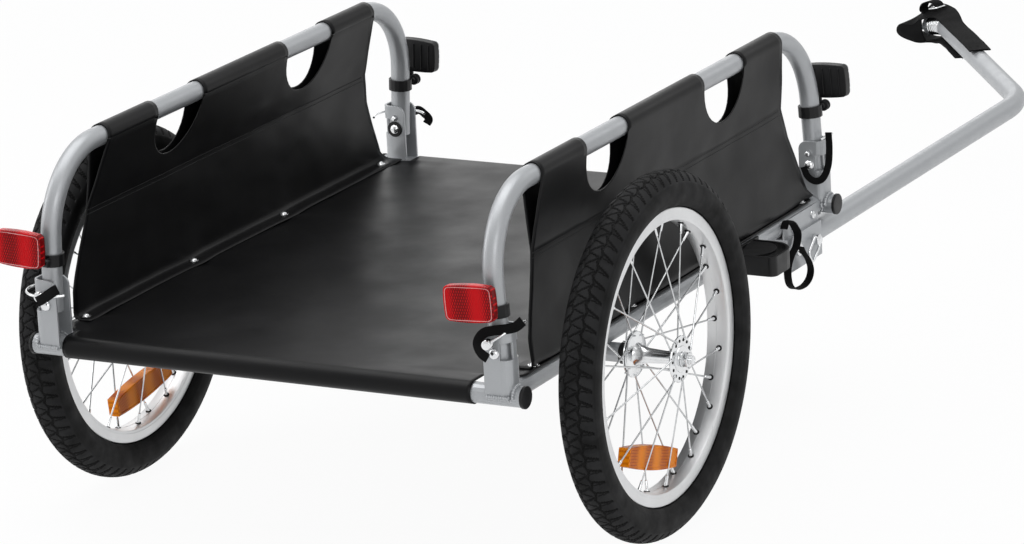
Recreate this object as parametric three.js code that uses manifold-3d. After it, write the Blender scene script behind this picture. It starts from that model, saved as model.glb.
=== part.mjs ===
// A two-wheeled cargo trailer for a bicycle: a flat bed between folding side hoops, a tow arm that
// folds under the bed, and a spring hitch. Millimetres, +Z up, +Y towards the bicycle, +X to the right.
// While it is built, y is 0 at the rear cross tube; the last lines centre the trailer on its own length.
import * as THREE from 'three';
import { mergeVertices } from 'three/addons/utils/BufferGeometryUtils.js';
import Module from 'manifold-3d';

const wasm = await Module();
wasm.setup();

// Clearances
const gap = 0.3; // between pieces that touch
const runningGap = 0.5; // between a turning piece and what carries it
const holeGap = 0.4; // round a pin in its hole, on the radius
const overrun = 6; // how far a cutting tool runs past the piece

// Wheels
const wheelRadius = 198;
const axleShare = 0.305263; // from the rear cross tube forward to the axle, as a share of the bed
const tyreWidth = 44;
const tyreWall = 3.5;
const beadDepth = 8;
const beadThickness = 3;
const rimRadius = 159;
const rimDepth = 14;
const rimWidth = 26;
const rimWall = 1.6;
const rimFloor = 4;
const rimCrown = 1.5;
const hubLength = 60;
const hubFlangeRadius = 25;
const hubFlangeThickness = 3;
const hubFlangeInset = 1.5;
const hubWaistRadius = 10;
const hubShoulderRadius = 14;
const hubWaistLength = 30;
const spokeRadius = 0.9;
const spokeCircleRadius = 22.5;
const spokeStagger = 1.2;
const spokeLandingOffset = 3;
const wheelReflectorRadius = 106.5; // from the axle to its middle
const wheelReflectorLength = 116;
const wheelReflectorDepth = 27;
const wheelReflectorEndDepth = 20;
const wheelReflectorThickness = 14;

// Axle
const axleRadius = 6;
const axleTubeRadius = 10.5;
const axleTubeWall = 2;
const axleTubeInset = 6; // from a cross tube's end in to the axle tube's
const axleInnerLength = 26;
const axleConeLength = 6.1; // between the bush's flange and the hub
const axleNutRadius = 9;
const axleNutLength = 9;
const axleTipLength = 3;
const axleTipRadius = 5;
const bushFlangeRadius = 12;
const bushFlangeThickness = 4;
const bushPlugLength = 16;

// Frame
const tubeRadius = 11;
const tubeWall = 1.5;
const bedLength = 760; // between the cross tubes' centre lines
const crossTubeLength = 588;
const railInset = 22; // from a cross tube's end in to the rail's centre line
const capRadius = 12;
const capThickness = 3;
const capPlugLength = 12;

// Corner brackets
const bracketWall = 2.5;
const legClearance = 0.6;
const bracketReach = 13; // inward from the hoop's pivot
const bracketTopRise = 27.5; // above the hoop's pivot
const bracketCornerRadius = 10;
const bracketBendRadius = 10.5; // round the outside of the channel's two bends
const windowHeight = 18.5;
const windowTop = 11.8; // above the hoop's pivot

// Side hoops
const hoopPivotInset = 24; // from a cross tube's end in to the pivot
const hoopPivotRise = 47.7; // above the frame tubes' centre lines
const hoopHeight = 158.7; // from the pivot to the top tube's centre line
const hoopBendRadius = 87;
const hoopTail = 8.5; // below the pivot
const boltRadius = 3;
const boltHeadRadius = 5.5;
const boltHeadHeight = 4.2;
const boltNutHeight = 4.6;

// Lock pins and their snap rings
const pinRise = 13.5; // from the pivot to the lock pin
const pinRadius = 3;
const pinTip = 5; // past the far flange
const pinHeadRadius = 5.5;
const pinHeadLength = 8;
const pinNeck = 8; // from the flange to the head
const ringRadius = 30;
const ringWireRadius = 1.4;
const ringHoleGap = 0.8;

// Fabric
const fabric = 1.2;
const sheetInset = 14; // from a cross tube's end in to the floor sheet's edge and the panels' feet
const sheetRise = 0.4; // how far the bed stands above the sheet's edges, which the panels' feet hold down
const sheetRiseMargin = 1.5; // between the panels' feet and the risen bed
const sheetCornerStart = 30;
const sheetCornerInset = 36;
const sheetCornerCut = 22;
const rearSleeveLeftInset = 39; // each sleeve's ends, in from the cross tube's
const rearSleeveRightInset = 56;
const frontSleeveInset = 46;
const sleeveGusset = 5;
const panelFoot = 22;
const panelSleeveGap = 0.6;
const seamHeight = 350;
const panelHeight = 206; // from the floor sheet to the top of the panel's sleeve
const handHoleDepth = 51;

// Reflectors
const bandHeight = 13;
const bandWall = 2.2;
const knuckleReach = 19;
const knuckleRadius = 4;
const knucklePinRadius = 1.6;
const tongueThickness = 5.4;
const earThickness = 3;
const lampWidth = 58;
const lampHeight = 40;
const lampDepth = 13;
const lampClearance = 0.5;
const lampCornerRadius = 5;

// Tow bracket and tow arm
const armRadius = 12.7;
const armWall = 2;
const armOffset = 2; // outward from the right rail's centre line
const armDrop = 28.8; // below the frame tubes' centre lines
const armLength = 685; // from its pivot to the bend's corner
const armReach = 405; // from the bend's corner to the tube's end
const armBendRadius = 130;
const towPivotInset = 92; // from the front cross tube back to the arm's pivot
const towPinReach = 43; // from the pivot forward to the lock pin
const channelBehind = 27; // behind the arm's pivot
const channelAhead = 63.5;
const channelWall = 2;
const channelClearance = 0.4;
const channelDepth = 40;
const cheekHeight = 20.5;
const cheekThickness = 2.2;
const railBoltReach = 48;
const railBoltRise = 27;
const anchorReach = -3;
const anchorRise = 24;
const screwHeadRadius = 5;
const screwHeadHeight = 3.5;
const towBoltRadius = 4;
const towHeadRadius = 7.5;
const towHeadHeight = 5.2;
const towPinHeadRadius = 6.5;
const towPinHeadLength = 9;
const bailWireRadius = 1.6;
const bailWidth = 28;
const bailLength = 39;
const bailBendRadius = 7;
const bailEndGap = 2.4;
const tetherWidth = 13;
const tetherThickness = 1.5;

// Wheel guard
const guardShare = 0.657895; // from the rear cross tube forward to the guard, as a share of the bed
const guardLength = 62;
const guardReach = 57;
const guardHeight = 22;
const guardWall = 3;
const guardRise = 12;
const guardFlange = 12;
const guardNearRadius = 8; // the loop's rear corner
const guardFarRadius = 30; // the loop's front corner
const guardDeckShare = 0.74; // how far across the loop its deck reaches, as a share of it
const guardDeckDrop = 1; // from the loop's top down to the deck's

// Spring hitch
const springWireRadius = 1.8;
const springMeanRadius = 11;
const springLength = 40;
const springEnd = 4;
const couplerPlugRadius = 8;
const couplerPlugLength = 8;
const couplerCollarRadius = 13;
const couplerCollarLength = 4;
const plateWidth = 30;
const plateLength = 34;
const plateThickness = 5;
const plateHoleRadius = 5.25;
const strapWidth = 28;
const strapThickness = 2;
const strapClearance = 3; // off the coupler's faces
const strapTopStart = 213; // measured from the bend's corner along the arm
const strapUnderEnd = 325;

// Angles and counts
const degree = Math.PI / 180;
const hoopLean = 3 * degree;
const hoopFold = 87 * degree;
const armTurn = 36.4 * degree;
const armSlotTurn = 26 * degree;
const hitchTurn = 38 * degree;
const hitchDroop = 12 * degree;
const bailTilt = 38 * degree;
const ringOuterTurn = 120 * degree;
const ringInnerTurn = 52 * degree;
const spokeLean = 26 * degree;
const tubeSides = 16;
const boreSides = 6;
const wheelSides = 24;
const turnedSides = 12;
const holeSides = 8;
const wireSides = 6;
const bendStepTurn = 15.1 * degree;
const spokeCount = 28;
const springCoils = 5;
const springSteps = 8;
const springSides = 5;
const spokeSides = 3;
const roundSteps = 6; // across a rounded end
const cornerSteps = 3;
const slotSteps = 6;
const holeArcSteps = 8; // round a hand hole
const reflectorSteps = 8;
const tyreSteps = 8;
const tyreInnerSteps = 4;
const gapSteps = 6; // between two places on the spring, when its least gap is measured

// Each corner as it is set on the trailer shown: its reflector band's height as a share of the hoop's,
// its lens's height above the band and its lens's offset to its left as shares of the lens's own sizes,
// and its ring's tilt
const corners = [
  { name: 'rear_left', side: -1, end: -1, bandShare: 0.308, lampShare: 0.42, leftShare: 0.33, ringTilt: 0 },
  { name: 'rear_right', side: 1, end: -1, bandShare: 0.27, lampShare: 0.39, leftShare: 0.2,
    ringTilt: 34 * degree },
  { name: 'front_left', side: -1, end: 1, bandShare: 0.329, lampShare: 0.73, leftShare: 0.09, ringTilt: 0 },
  { name: 'front_right', side: 1, end: 1, bandShare: 0.378, lampShare: 0.715, leftShare: 0.13,
    ringTilt: 45 * degree },
];
const sides = [
  { name: 'left', side: -1, reflectorTurn: 7.5 * degree },
  { name: 'right', side: 1, reflectorTurn: -17.4 * degree },
];

// Where each side panel's three sleeves run, as shares of the bed's length
const sleeveShares = [[0.134, 0.267], [0.393, 0.632], [0.763, 0.891]];

// A panel's end edges: how far in from the cross tube's line, as shares of its top sleeve's inset, at
// shares of the panel's height
const rearEdgeShares = [[0, 0.49], [0.16, 0.47], [0.36, 0.6], [0.6, 0.76], [0.9, 0.95], [1, 1]];
const frontEdgeShares = [[0, 0.24], [0.06, 0.46], [0.2, 0.64], [0.4, 0.87], [0.57, 0.96], [1, 1]];

// The tow pin's tether: ahead of and above the arm's pivot, as shares of the lock pin's reach
const tetherShares = [
  [-0.07, 0.56], [-0.19, 0.19], [-0.3, -0.23], [-0.3, -0.7],
  [-0.12, -1.02], [0.12, -1.07], [0.3, -0.98], [0.356, -0.78],
];

// Places worked out from the sizes above
const bedHalf = crossTubeLength / 2;
const railSpacing = 2 * (bedHalf - railInset);
const hoopPivotSpacing = 2 * (bedHalf - hoopPivotInset);
const axleTubeLength = 2 * (bedHalf - axleTubeInset);
const hubStart = axleTubeLength / 2 + gap + bushFlangeThickness + gap + axleConeLength + gap;
const wheelSpacing = 2 * hubStart + hubLength; // from one wheel's middle plane to the other's
const wheelSetback = axleShare * bedLength;
const sheetSide = bedHalf - sheetInset;
const sheetCornerSide = bedHalf - sheetCornerInset;
const panelFootSide = sheetSide;
const armSide = railSpacing / 2 + armOffset;
const towPivot = bedLength - towPivotInset;
const channelStart = towPivot - channelBehind;
const channelEnd = towPivot + channelAhead;
const guardStart = guardShare * bedLength;
const guardEnd = guardStart + guardLength;
const axleHeight = wheelRadius;
const frameHeight = axleHeight + axleTubeRadius + gap + tubeRadius;
const pivotSide = hoopPivotSpacing / 2;
const pivotHeight = frameHeight + hoopPivotRise;
const hoopTopSide = pivotSide - Math.sin(hoopLean) * hoopHeight;
const hoopTopHeight = pivotHeight + Math.cos(hoopLean) * hoopHeight;
const sleeveInner = tubeRadius + panelSleeveGap;
const sheetUnder = frameHeight + tubeRadius + gap;
const sheetTop = sheetUnder + fabric;
const channelHalf = tubeRadius + legClearance;
const bracketHalf = channelHalf + bracketWall;
const legSwing = Math.hypot(tubeRadius, hoopTail);
const webInner = legSwing + holeGap;
const armHeight = frameHeight - armDrop;
const channelInner = armRadius + channelClearance;
const channelOuter = channelInner + channelWall;
const railUnder = frameHeight - tubeRadius - gap;
const towFace = armSide + channelOuter;
const rimInner = rimRadius - rimDepth - rimCrown * (1 - spokeLandingOffset / (rimWidth / 2));

// Materials
const looks = {
  silver: () => new THREE.MeshStandardMaterial({ color: '#b4b7ba', roughness: 0.38, metalness: 0.55 }),
  chrome: () => new THREE.MeshStandardMaterial({ color: '#d9dbdd', roughness: 0.16, metalness: 1 }),
  aluminium: () => new THREE.MeshStandardMaterial({ color: '#dfe1e3', roughness: 0.4, metalness: 0.8 }),
  fabric: () => new THREE.MeshStandardMaterial({ color: '#17181a', roughness: 0.55, metalness: 0 }),
  webbing: () => new THREE.MeshStandardMaterial({ color: '#131416', roughness: 0.85, metalness: 0 }),
  plastic: () => new THREE.MeshStandardMaterial({ color: '#191a1c', roughness: 0.5, metalness: 0 }),
  rubber: () => new THREE.MeshStandardMaterial({ color: '#1c1d1f', roughness: 0.8, metalness: 0 }),
  red: () => new THREE.MeshStandardMaterial({ color: '#b3141d', roughness: 0.2, metalness: 0 }),
  clear: () => new THREE.MeshStandardMaterial({ color: '#d8dadc', roughness: 0.2, metalness: 0 }),
  orange: () => new THREE.MeshStandardMaterial({ color: '#f07c12', roughness: 0.25, metalness: 0 }),
};

const trailer = new THREE.Group();

// Names a piece, gives it its material and hangs it in its group
function addPiece(parent, name, geometry, look) {
  const mesh = new THREE.Mesh(closed(geometry), look());
  mesh.name = name;
  parent.add(mesh);
  return mesh;
}

function addGroup(parent, x, y, z) {
  const group = new THREE.Group();
  group.position.set(x, y, z);
  parent.add(group);
  return group;
}

// A closed mesh with shared vertices, no collapsed triangles and its faces outward
function closed(geometry) {
  geometry.deleteAttribute('normal');
  geometry.deleteAttribute('uv');
  const merged = mergeVertices(geometry);
  const old = merged.index.array;
  const place = merged.attributes.position;
  const corner = [new THREE.Vector3(), new THREE.Vector3(), new THREE.Vector3()];
  const kept = [];
  let volume = 0;
  for (let i = 0; i < old.length; i += corner.length) {
    const [a, b, c] = [old[i], old[i + 1], old[i + 2]];
    if (a === b || b === c || c === a) {
      continue;
    }
    kept.push(a, b, c);
    corner.forEach((point, n) => point.fromBufferAttribute(place, [a, b, c][n]));
    volume += corner[0].dot(corner[1].clone().cross(corner[2]));
  }
  merged.setIndex(volume < 0 ? kept.reverse() : kept);
  return merged;
}

function solid(geometry) {
  const shell = closed(geometry.clone());
  const vertProperties = Float32Array.from(shell.attributes.position.array);
  const triVerts = Uint32Array.from(shell.index.array);
  return new wasm.Manifold(new wasm.Mesh({ numProp: 3, vertProperties, triVerts }));
}

function geometryOf(body) {
  const mesh = body.getMesh();
  const geometry = new THREE.BufferGeometry();
  geometry.setAttribute('position', new THREE.BufferAttribute(mesh.vertProperties, 3));
  geometry.setIndex(new THREE.BufferAttribute(mesh.triVerts, 1));
  return geometry;
}

function cut(geometry, tools) {
  return geometryOf(tools.reduce((body, tool) => body.subtract(solid(tool)), solid(geometry)));
}

function join(pieces) {
  return geometryOf(pieces.slice(1).reduce((body, piece) => body.add(solid(piece)), solid(pieces[0])));
}

function common(one, other) {
  return geometryOf(solid(one).intersect(solid(other)));
}

// A curve that is read only at chosen stations, so a tube has rings only where it needs them
class StationPath extends THREE.Curve {
  constructor(points, tangents) {
    super();
    this.points = points;
    this.tangents = tangents;
  }

  getUtoTmapping(u) {
    return u;
  }

  station(t) {
    return Math.round(t * (this.points.length - 1));
  }

  getPoint(t, target = new THREE.Vector3()) {
    return target.copy(this.points[this.station(t)]);
  }

  getTangent(t, target = new THREE.Vector3()) {
    return target.copy(this.tangents[this.station(t)]);
  }
}

function towards(from, to) {
  return to.clone().sub(from).normalize();
}

// Straight runs between corners, with an arc of the bend's radius at each corner
function bentPath(stops, bendRadius) {
  const points = [stops[0].clone()];
  const tangents = [towards(stops[0], stops[1])];
  for (let i = 1; i < stops.length - 1; i += 1) {
    const before = towards(stops[i - 1], stops[i]);
    const after = towards(stops[i], stops[i + 1]);
    const turn = before.angleTo(after);
    const axis = before.clone().cross(after).normalize();
    const inward = axis.clone().cross(before);
    const centre = stops[i].clone().addScaledVector(before, -bendRadius * Math.tan(turn / 2));
    centre.addScaledVector(inward, bendRadius);
    const steps = Math.ceil(turn / bendStepTurn);
    for (let k = 0; k <= steps; k += 1) {
      const out = inward.clone().negate().applyAxisAngle(axis, (turn * k) / steps);
      points.push(centre.clone().addScaledVector(out, bendRadius));
      tangents.push(before.clone().applyAxisAngle(axis, (turn * k) / steps));
    }
  }
  points.push(stops[stops.length - 1].clone());
  tangents.push(towards(stops[stops.length - 2], stops[stops.length - 1]));
  return new StationPath(points, tangents);
}

function circle(radius, count) {
  const points = [];
  for (let k = 0; k < count; k += 1) {
    const turn = (2 * Math.PI * k) / count;
    points.push(new THREE.Vector2(radius * Math.cos(turn), radius * Math.sin(turn)));
  }
  return points;
}

function roundSection(radius, count, bore) {
  const section = new THREE.Shape(circle(radius, count));
  if (bore) {
    section.holes.push(new THREE.Path(circle(bore, boreSides)));
  }
  return section;
}

function sweep(section, path) {
  const steps = path.points.length - 1;
  return new THREE.ExtrudeGeometry(section, { steps, extrudePath: path, bevelEnabled: false });
}

// A shape drawn in x and y, extruded up from z = 0
function extrude(points, depth, curveSegments) {
  const shape = points instanceof THREE.Shape ? points : new THREE.Shape(points);
  return new THREE.ExtrudeGeometry(shape, { depth, curveSegments, bevelEnabled: false });
}

function outline(pairs) {
  return pairs.map(([a, b]) => new THREE.Vector2(a, b));
}

// A shape drawn in y and z, extruded along x between two places
function extrudeAlongX(points, from, to) {
  const geometry = extrude(points, to - from);
  const upright = new THREE.Matrix4().makeBasis(
    new THREE.Vector3(0, 1, 0), new THREE.Vector3(0, 0, 1), new THREE.Vector3(1, 0, 0));
  return geometry.applyMatrix4(upright).translate(from, 0, 0);
}

// A shape drawn in x and z, extruded along y between two places
function extrudeAlongY(points, from, to) {
  return extrude(points, to - from).rotateX(Math.PI / 2).translate(0, to, 0);
}

// A turned solid about the x axis; the profile lists places along x and radii
function turned(profile, count) {
  const points = profile.map(([along, radius]) => new THREE.Vector2(radius, along));
  return new THREE.LatheGeometry(points, count).rotateZ(-Math.PI / 2);
}

// The same with a bore, so the profile closes on itself
function turnedRing(profile, count) {
  return turned([...profile, profile[0]], count);
}

function straightTube(length, radius, bore) {
  const tube = extrude(roundSection(radius, tubeSides, bore), length);
  return tube.translate(0, 0, -length / 2);
}

function rodBetween(from, to, radius, count) {
  const rod = new THREE.CylinderGeometry(radius, radius, from.distanceTo(to), count);
  const turn = new THREE.Quaternion().setFromUnitVectors(new THREE.Vector3(0, 1, 0), towards(from, to));
  rod.applyQuaternion(turn);
  const middle = from.clone().add(to).multiplyScalar(1 / 2);
  return rod.translate(middle.x, middle.y, middle.z);
}

function boxBetween(low, high) {
  const [sx, sy, sz] = high.map((value, n) => value - low[n]);
  const [cx, cy, cz] = high.map((value, n) => (value + low[n]) / 2);
  return new THREE.BoxGeometry(sx, sy, sz).translate(cx, cy, cz);
}

// A flat band: stations give its middle and the direction of its width, in order along the band
function ribbon(stations, width, thickness) {
  const points = [];
  const faces = [];
  stations.forEach(({ at, across }, n) => {
    const before = stations[Math.max(n - 1, 0)].at;
    const after = stations[Math.min(n + 1, stations.length - 1)].at;
    const proud = across.clone().cross(towards(before, after)).normalize();
    for (const [a, b] of [[-1, -1], [1, -1], [1, 1], [-1, 1]]) {
      const point = at.clone().addScaledVector(across, (a * width) / 2);
      point.addScaledVector(proud, (b * thickness) / 2);
      points.push(point.x, point.y, point.z);
    }
  });
  const last = stations.length - 1;
  for (let n = 0; n < last; n += 1) {
    for (let k = 0; k < 4; k += 1) {
      const [a, b] = [4 * n + k, 4 * n + ((k + 1) % 4)];
      faces.push(a, b, b + 4, a, b + 4, a + 4);
    }
  }
  faces.push(0, 2, 1, 0, 3, 2);
  faces.push(4 * last, 4 * last + 1, 4 * last + 2, 4 * last, 4 * last + 2, 4 * last + 3);
  const geometry = new THREE.BufferGeometry();
  geometry.setAttribute('position', new THREE.Float32BufferAttribute(points, 3));
  geometry.setIndex(faces);
  return geometry;
}

// Frame: two cross tubes, two rails and the axle tube

function makeFrame() {
  const bore = tubeRadius - tubeWall;
  for (const [name, y] of [['rear_cross_tube', 0], ['front_cross_tube', bedLength]]) {
    const tube = straightTube(crossTubeLength, tubeRadius, bore).rotateY(Math.PI / 2);
    addPiece(trailer, name, tube.translate(0, y, frameHeight), looks.silver);
  }
  const cope = (tubeRadius + gap) / Math.cos(Math.PI / tubeSides);
  for (const { name, side } of sides) {
    const x = (side * railSpacing) / 2;
    const rail = straightTube(bedLength, tubeRadius, bore).rotateX(Math.PI / 2);
    rail.translate(x, bedLength / 2, frameHeight);
    const reach = new THREE.Vector3(2 * tubeRadius, 0, 0);
    const tools = [0, bedLength].map((y) => {
      const middle = new THREE.Vector3(x, y, frameHeight);
      return rodBetween(middle.clone().sub(reach), middle.clone().add(reach), cope, tubeSides);
    });
    addPiece(trailer, `${name}_rail`, cut(rail, tools), looks.silver);
  }
  const axleTube = straightTube(axleTubeLength, axleTubeRadius, axleTubeRadius - axleTubeWall);
  axleTube.rotateY(Math.PI / 2).translate(0, wheelSetback, axleHeight);
  addPiece(trailer, 'axle_tube', axleTube, looks.silver);
}

function makeEndCaps() {
  const plugRadius = tubeRadius - tubeWall - gap;
  const start = crossTubeLength / 2 + gap;
  for (const { name, side, end } of corners) {
    const cap = turned([
      [start - capPlugLength, 0],
      [start - capPlugLength, plugRadius * Math.cos(Math.PI / boreSides)],
      [start, plugRadius * Math.cos(Math.PI / boreSides)],
      [start, capRadius],
      [start + capThickness, capRadius - gap],
      [start + capThickness, 0],
    ], turnedSides);
    cap.rotateZ(side > 0 ? 0 : Math.PI);
    cap.translate(0, end > 0 ? bedLength : 0, frameHeight);
    addPiece(trailer, `${name}_cap`, cap, looks.plastic);
  }
}

// Corner brackets: a bent channel open to the inside, coped over the cross tube and the rail, with a
// window in each of its two bends

function makeBracket(bedWay) {
  const [inner, outer] = [-bracketReach, webInner + bracketWall];
  const bottom = -hoopPivotRise;
  const height = bracketTopRise - bottom;
  const hollow = extrude(channelSection(inner - overrun, webInner, channelHalf,
    bracketBendRadius - bracketWall), height + 2 * overrun).translate(0, 0, bottom - overrun);
  const block = extrude(channelSection(inner, outer, bracketHalf, bracketBendRadius), height);
  const channel = cut(block.translate(0, 0, bottom), [hollow]);
  const profile = new THREE.Shape();
  profile.moveTo(inner, bottom - overrun);
  profile.lineTo(outer + overrun, bottom - overrun);
  profile.lineTo(outer + overrun, bracketTopRise);
  profile.lineTo(inner + bracketCornerRadius, bracketTopRise);
  profile.absarc(inner + bracketCornerRadius, bracketTopRise - bracketCornerRadius,
    bracketCornerRadius, Math.PI / 2, Math.PI, false);
  const sideView = new THREE.Shape(profile.getPoints(roundSteps));
  const rounded = common(channel, extrudeAlongY(sideView, -bracketHalf - overrun, bracketHalf + overrun));
  const along = new THREE.Vector3(0, bracketHalf + overrun, 0);
  const pivot = new THREE.Vector3();
  const pin = pinPlace(1);
  const tube = new THREE.Vector3(0, 0, -hoopPivotRise);
  const reach = new THREE.Vector3(2 * outer, 0, 0);
  const rail = new THREE.Vector3(railSpacing / 2 - pivotSide, 0, -hoopPivotRise);
  const railEnd = rail.clone().addScaledVector(along, bedWay);
  const cope = (tubeRadius + gap) / Math.cos(Math.PI / tubeSides);
  const strip = bracketHalf - bracketBendRadius;
  const windows = [[-bracketHalf - overrun, -strip], [strip, bracketHalf + overrun]].map(([from, to]) => (
    boxBetween([outer - bracketBendRadius, from, windowTop - windowHeight],
      [outer + overrun, to, windowTop])));
  return cut(rounded, [
    rodBetween(pivot.clone().sub(along), along, boltRadius + holeGap, holeSides),
    rodBetween(pin.clone().sub(along), pin.clone().add(along), pinRadius + holeGap, holeSides),
    rodBetween(tube.clone().sub(reach), tube.clone().add(reach), cope, tubeSides),
    rodBetween(rail, railEnd, cope, tubeSides),
    ...windows,
  ]);
}

// A channel's section, filled: two straight sides and a web, joined by round bends
function channelSection(inner, outer, half, radius) {
  const shape = new THREE.Shape();
  shape.moveTo(inner, -half);
  shape.lineTo(outer - radius, -half);
  shape.absarc(outer - radius, radius - half, radius, -Math.PI / 2, 0, false);
  shape.absarc(outer - radius, half - radius, radius, 0, Math.PI / 2, false);
  shape.lineTo(inner, half);
  return new THREE.Shape(shape.getPoints(cornerSteps));
}

// The lock pin's place from the pivot, on the leaning leg's axis
function pinPlace(side) {
  return new THREE.Vector3(-side * Math.sin(hoopLean) * pinRise, 0, Math.cos(hoopLean) * pinRise);
}

function makeBrackets() {
  for (const { name, side, end } of corners) {
    const bracket = addPiece(trailer, `${name}_bracket`, makeBracket(-end * side), looks.silver);
    bracket.position.set(side * pivotSide, end > 0 ? bedLength : 0, pivotHeight);
    bracket.rotation.z = side > 0 ? 0 : Math.PI;
  }
}

// Pivot bolts: a domed head on the face away from the bed and a nut on the other

function makePivotBolts() {
  const face = bracketHalf + gap;
  for (const { name, side, end } of corners) {
    const bolt = turned([
      [-face - boltHeadHeight, 0],
      [-face - boltHeadHeight, boltHeadRadius / 2],
      [-face - boltHeadHeight / 2, boltHeadRadius],
      [-face, boltHeadRadius],
      [-face, boltRadius],
      [face, boltRadius],
      [face, boltHeadRadius],
      [face + boltNutHeight, boltHeadRadius],
      [face + boltNutHeight, 0],
    ], turnedSides);
    bolt.rotateZ(Math.PI / 2);
    const mesh = addPiece(trailer, `${name}_pivot_bolt`, bolt, looks.chrome);
    mesh.position.set(side * pivotSide, end > 0 ? bedLength : 0, pivotHeight);
  }
}

// Side hoops, each built about its pivot line and leaning inward

const hoopGroups = {};

function makeHoops() {
  for (const { name, side } of sides) {
    const group = addGroup(trailer, side * pivotSide, 0, pivotHeight);
    group.rotation.y = -side * hoopLean;
    hoopGroups[side] = group;
    const path = bentPath([
      new THREE.Vector3(0, 0, -hoopTail),
      new THREE.Vector3(0, 0, hoopHeight),
      new THREE.Vector3(0, bedLength, hoopHeight),
      new THREE.Vector3(0, bedLength, -hoopTail),
    ], hoopBendRadius);
    const tube = sweep(roundSection(tubeRadius, tubeSides, tubeRadius - tubeWall), path);
    const tools = [];
    for (const y of [0, bedLength]) {
      const [from, to] = [y - tubeRadius - overrun, y + tubeRadius + overrun];
      tools.push(rodBetween(new THREE.Vector3(0, from, 0), new THREE.Vector3(0, to, 0),
        boltRadius + holeGap, holeSides));
      tools.push(extrudeAlongY(pinSlot(side), from, to));
    }
    addPiece(group, `${name}_hoop`, cut(tube, tools), looks.silver);
  }
}

// The path that the lock pin takes through the leg while the hoop folds about its pivot
function pinSlot(side) {
  const half = pinRadius + holeGap;
  const steps = slotSteps;
  const slotTurn = hoopFold + Math.asin(Math.min(half / pinRise, 1));
  const points = [];
  const at = (radius, turn) => [side * radius * Math.sin(turn), radius * Math.cos(turn)];
  for (let k = 0; k <= steps; k += 1) {
    points.push(at(pinRise + half, (slotTurn * k) / steps));
  }
  for (let k = steps; k >= 0; k -= 1) {
    points.push(at(pinRise - half, (slotTurn * k) / steps));
  }
  for (let k = 1; k < steps; k += 1) {
    const turn = (-Math.PI * k) / steps;
    points.push([side * half * Math.sin(turn), pinRise - half * Math.cos(turn)]);
  }
  return outline(points);
}

// Reflectors: a band round the leg with two ears, and a housing that tilts on a screw between them

function makeReflectors() {
  for (const { name, side, end, bandShare, lampShare, leftShare } of corners) {
    const band = addGroup(hoopGroups[side], 0, end > 0 ? bedLength : 0, bandShare * hoopHeight);
    band.rotation.z = end > 0 ? Math.PI : 0;
    addPiece(band, `${name}_clamp`, makeClamp(), looks.plastic);
    const look = end > 0 ? looks.clear : looks.red;
    addPiece(band, `${name}_reflector`, makeLamp(lampShare * lampHeight, leftShare * lampWidth), look);
  }
}

function makeClamp() {
  const inner = (tubeRadius + gap) / Math.cos(Math.PI / tubeSides);
  const outer = inner + bandWall;
  const section = new THREE.Shape(circle(outer, tubeSides));
  section.holes.push(new THREE.Path(circle(inner, tubeSides)));
  const band = extrude(section, bandHeight).translate(0, 0, -bandHeight / 2);
  const tongueHalf = tongueThickness / 2 + gap;
  const pieces = [band];
  for (const way of [-1, 1]) {
    const [a, b] = [way * tongueHalf, way * (tongueHalf + earThickness)];
    const low = [Math.min(a, b), -knuckleReach, -knuckleRadius];
    const high = [Math.max(a, b), -outer + bandWall / 2, knuckleRadius];
    pieces.push(boxBetween(low, high), rodBetween(new THREE.Vector3(a, -knuckleReach, 0),
      new THREE.Vector3(b, -knuckleReach, 0), knuckleRadius, turnedSides));
  }
  const knuckle = new THREE.Vector3(0, -knuckleReach, 0);
  const reach = new THREE.Vector3(tongueHalf + earThickness / 2, 0, 0);
  pieces.push(rodBetween(knuckle.clone().sub(reach), knuckle.clone().add(reach),
    knucklePinRadius, holeSides));
  return join(pieces);
}

function makeLamp(rise, left) {
  const [w, h, r] = [lampWidth / 2, lampHeight / 2, lampCornerRadius];
  const face = new THREE.Shape();
  face.moveTo(w - left, rise - h + r);
  face.absarc(w - left - r, rise + h - r, r, 0, Math.PI / 2, false);
  face.absarc(-w - left + r, rise + h - r, r, Math.PI / 2, Math.PI, false);
  face.absarc(-w - left + r, rise - h + r, r, Math.PI, Math.PI * 1.5, false);
  face.absarc(w - left - r, rise - h + r, r, Math.PI * 1.5, Math.PI * 2, false);
  const back = -knuckleReach - knuckleRadius - lampClearance;
  const housing = extrudeAlongY(face.getPoints(cornerSteps), back - lampDepth, back);
  const half = tongueThickness / 2;
  const reach = knuckleRadius - gap;
  const tongue = join([
    boxBetween([-half, back - lampDepth / 2, -reach], [half, -knuckleReach + reach, reach]),
    boxBetween([-half, back - lampDepth / 2, -reach], [half, -knuckleReach, Math.max(reach, rise - h + r)]),
  ]);
  const screw = rodBetween(
    new THREE.Vector3(-half - overrun, -knuckleReach, 0),
    new THREE.Vector3(half + overrun, -knuckleReach, 0),
    knucklePinRadius + holeGap, holeSides);
  return cut(join([housing, tongue]), [screw]);
}

// Lock pins and snap rings: the ring runs through the pin's head and round the outside of the bracket

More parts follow.
